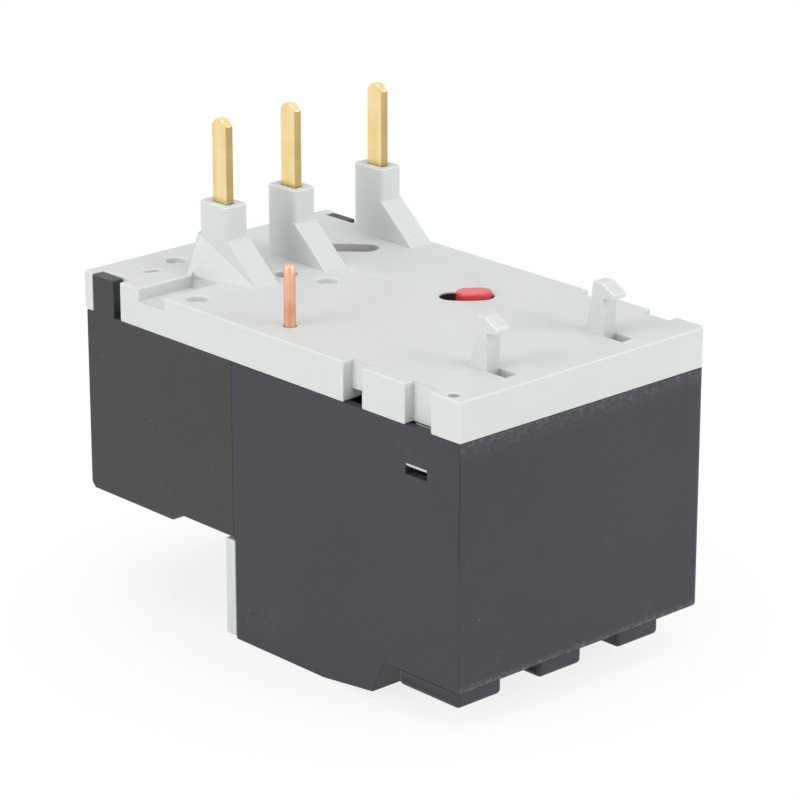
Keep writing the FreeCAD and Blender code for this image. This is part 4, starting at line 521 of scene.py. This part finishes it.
def printed_film(name, marks, face_y, ink, body):
    """Printed marks on a face square to the Y axis, as one mesh. Each mark is (text, x, z, height,
    turn): a letter's own x runs along X and its own y along Z, turned by that angle about its middle.
    height is that of a capital in millimetres, and the font's size is 1.35 times it."""
    work = bmesh.new()
    for text, x, z, height, turn in marks:
        line = bpy.data.curves.new(name, "FONT")
        line.body = text
        line.size = height * MM * 1.35
        line.align_x = "CENTER"
        line.align_y = "CENTER"
        line.extrude = 0.01 * MM
        line.resolution_u = 3
        holder = bpy.data.objects.new(name, line)
        flat = bpy.data.meshes.new_from_object(holder)
        flat.transform(Matrix.Translation((x, face_y - 0.012 * MM, z)) @ Matrix.Rotation(-turn, 4, "Y")
                       @ Matrix.Rotation(math.pi / 2, 4, "X"))
        work.from_mesh(flat)
        bpy.data.objects.remove(holder)
        bpy.data.meshes.remove(flat)
    mesh = bpy.data.meshes.new(name)
    work.to_mesh(mesh)
    work.free()
    mesh.materials.append(ink)
    piece = bpy.data.objects.new(name, mesh)
    bpy.context.collection.objects.link(piece)
    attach(piece, body)


white_ink = moulded_plastic("white_pad_ink", "ECECE8", "E0E0DC", 0.5, 0.3, 0.004)
charcoal_ink = moulded_plastic("charcoal_pad_ink", "2E2E30", "38383A", 0.5, 0.3, 0.004)

housing_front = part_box("front_housing")[0][1]
fascia_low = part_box("control_fascia")[0]
middle = {node: [(low + high) / 2 for low, high in zip(*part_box(node))]
          for node in ("setting_dial", "reset_button", "test_button", "link_terminal",
                       "nc_contact_in", "nc_contact_out", "no_contact_in", "no_contact_out")}
number_height = 1.7
terminal_marks = [(text, middle[node][0], fascia_low[2] - 2.2 * MM, number_height, 0.0)
                  for text, node in (("95", "nc_contact_in"), ("96", "nc_contact_out"),
                                     ("97", "no_contact_in"), ("98", "no_contact_out"),
                                     ("A2", "link_terminal"))]
printed_film("terminal_numbers", terminal_marks, housing_front, white_ink, "case")

cover_low, cover_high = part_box("terminal_cover")
pitch = (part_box("terminal_bar_1")[0][0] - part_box("terminal_bar_3")[0][0]) / 2
phase_marks = [(text, place * pitch, cover_high[2] - 2.1 * MM, number_height, 0.0)
               for text, place in (("2", 1), ("4", 0), ("6", -1))]
printed_film("phase_numbers", phase_marks, cover_low[1], charcoal_ink, "case")

dial_x, _, dial_z = middle["setting_dial"]
around = [(text, math.radians(turn)) for text, turn in (("1.6", -128), ("1.8", -90), ("2", -52),
                                                        ("2.2", 52), ("2.4", 90), ("2.5", 128))]
scale_radius, tick_radius, pointer_rise, word_drop = 3.7 * MM, 5.95 * MM, 5.85 * MM, 4.7 * MM
word_height = 0.95
scale_marks = [(text, dial_x + scale_radius * math.sin(turn), dial_z + scale_radius * math.cos(turn),
                word_height, turn) for text, turn in around]
printed_film("dial_scale", scale_marks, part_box("setting_dial")[0][1], charcoal_ink, "setting_dial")
fascia_marks = [("RESET", middle["reset_button"][0], dial_z - word_drop, word_height, 0.0),
                ("TEST", middle["test_button"][0], dial_z - word_drop, word_height, 0.0),
                ("v", dial_x, dial_z + pointer_rise, 0.9, 0.0)]
fascia_marks += [("I", dial_x + tick_radius * math.sin(turn), dial_z + tick_radius * math.cos(turn),
                  0.55, turn) for _, turn in around]
printed_film("fascia_print", fascia_marks, fascia_low[1], charcoal_ink, "case")


# ---------------------------------------------------------------- metal and insulation inside
# Zinc-plated steel clamps and screws, tinned copper bars, bimetal strips with ribbon heaters.
# They show only through the screwdriver holes, the wire windows and the slots.

zinc = rolled_metal("zinc_plated_steel", "C9CBCC", "AEB2B6", 0.35, (1.0, 1.0, 1.0), 300.0)
tin = rolled_metal("tinned_copper_strip", "D5CFC4", "BDB6A8", 0.3, (1.0, 0.1, 1.0))
bimetal = rolled_metal("rolled_bimetal_strip", "B9B4AB", "A09A90", 0.32, (1.0, 1.0, 0.08))
resistor = rolled_metal("oxidised_heater_ribbon", "8D867E", "6E6760", 0.45, (0.3, 0.3, 1.0))
spring_steel = rolled_metal("bright_spring_steel", "C0C1C3", "A3A5A8", 0.28, (1.0, 1.0, 1.0), 400.0)
strip_copper = rolled_metal("rolled_contact_copper", "DE9A72", "C67F58", 0.33, (1.0, 0.1, 1.0))
carrier = moulded_plastic("natural_acetal", "E2DDCD", "DAD4C3", 0.4, 0.5, 0.01)
glass_fibre = moulded_plastic("woven_glass_sleeving", "DEDACB", "C9C4B2", 0.8, 0.5, 0.08)
finishes = {"zinc_plated_steel": zinc, "tinned_copper": tin, "bimetal_metal": bimetal,
            "heater_ribbon": resistor, "spring_steel": spring_steel, "contact_copper": strip_copper,
            "carrier_plastic": carrier, "sleeve_glass_fibre": glass_fibre, "white_plastic": ivory}
for part in frame["record"]["subparts"]:
    if part["material_slot"] in finishes and not nodes[part["node"]].hide_render:
        mesh = nodes[part["node"]].data
        mesh.materials.clear()
        mesh.materials.append(finishes[part["material_slot"]])
for node in ("aux_screws", "main_screws", "aux_clamps", "main_clamps"):
    edge_rounded(node, "case", 0.12, zinc)


# ---------------------------------------------------------------- button springs
# Each push button stands on a small coil of bright spring steel round its shaft. The coil is caught
# between the button's collar and a wall of the case, so a press shortens it; here the coil keeps its
# length.

for node, press in (("reset_spring", "reset_button_press"), ("test_spring", "test_button_press")):
    coil = nodes[node].copy()
    coil.data = nodes[node].data.copy()
    coil.name = node + "_coil"
    bpy.context.collection.objects.link(coil)
    close_up(coil)
    low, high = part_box(node)
    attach(coil, "case")
    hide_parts(node)
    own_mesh(coil)
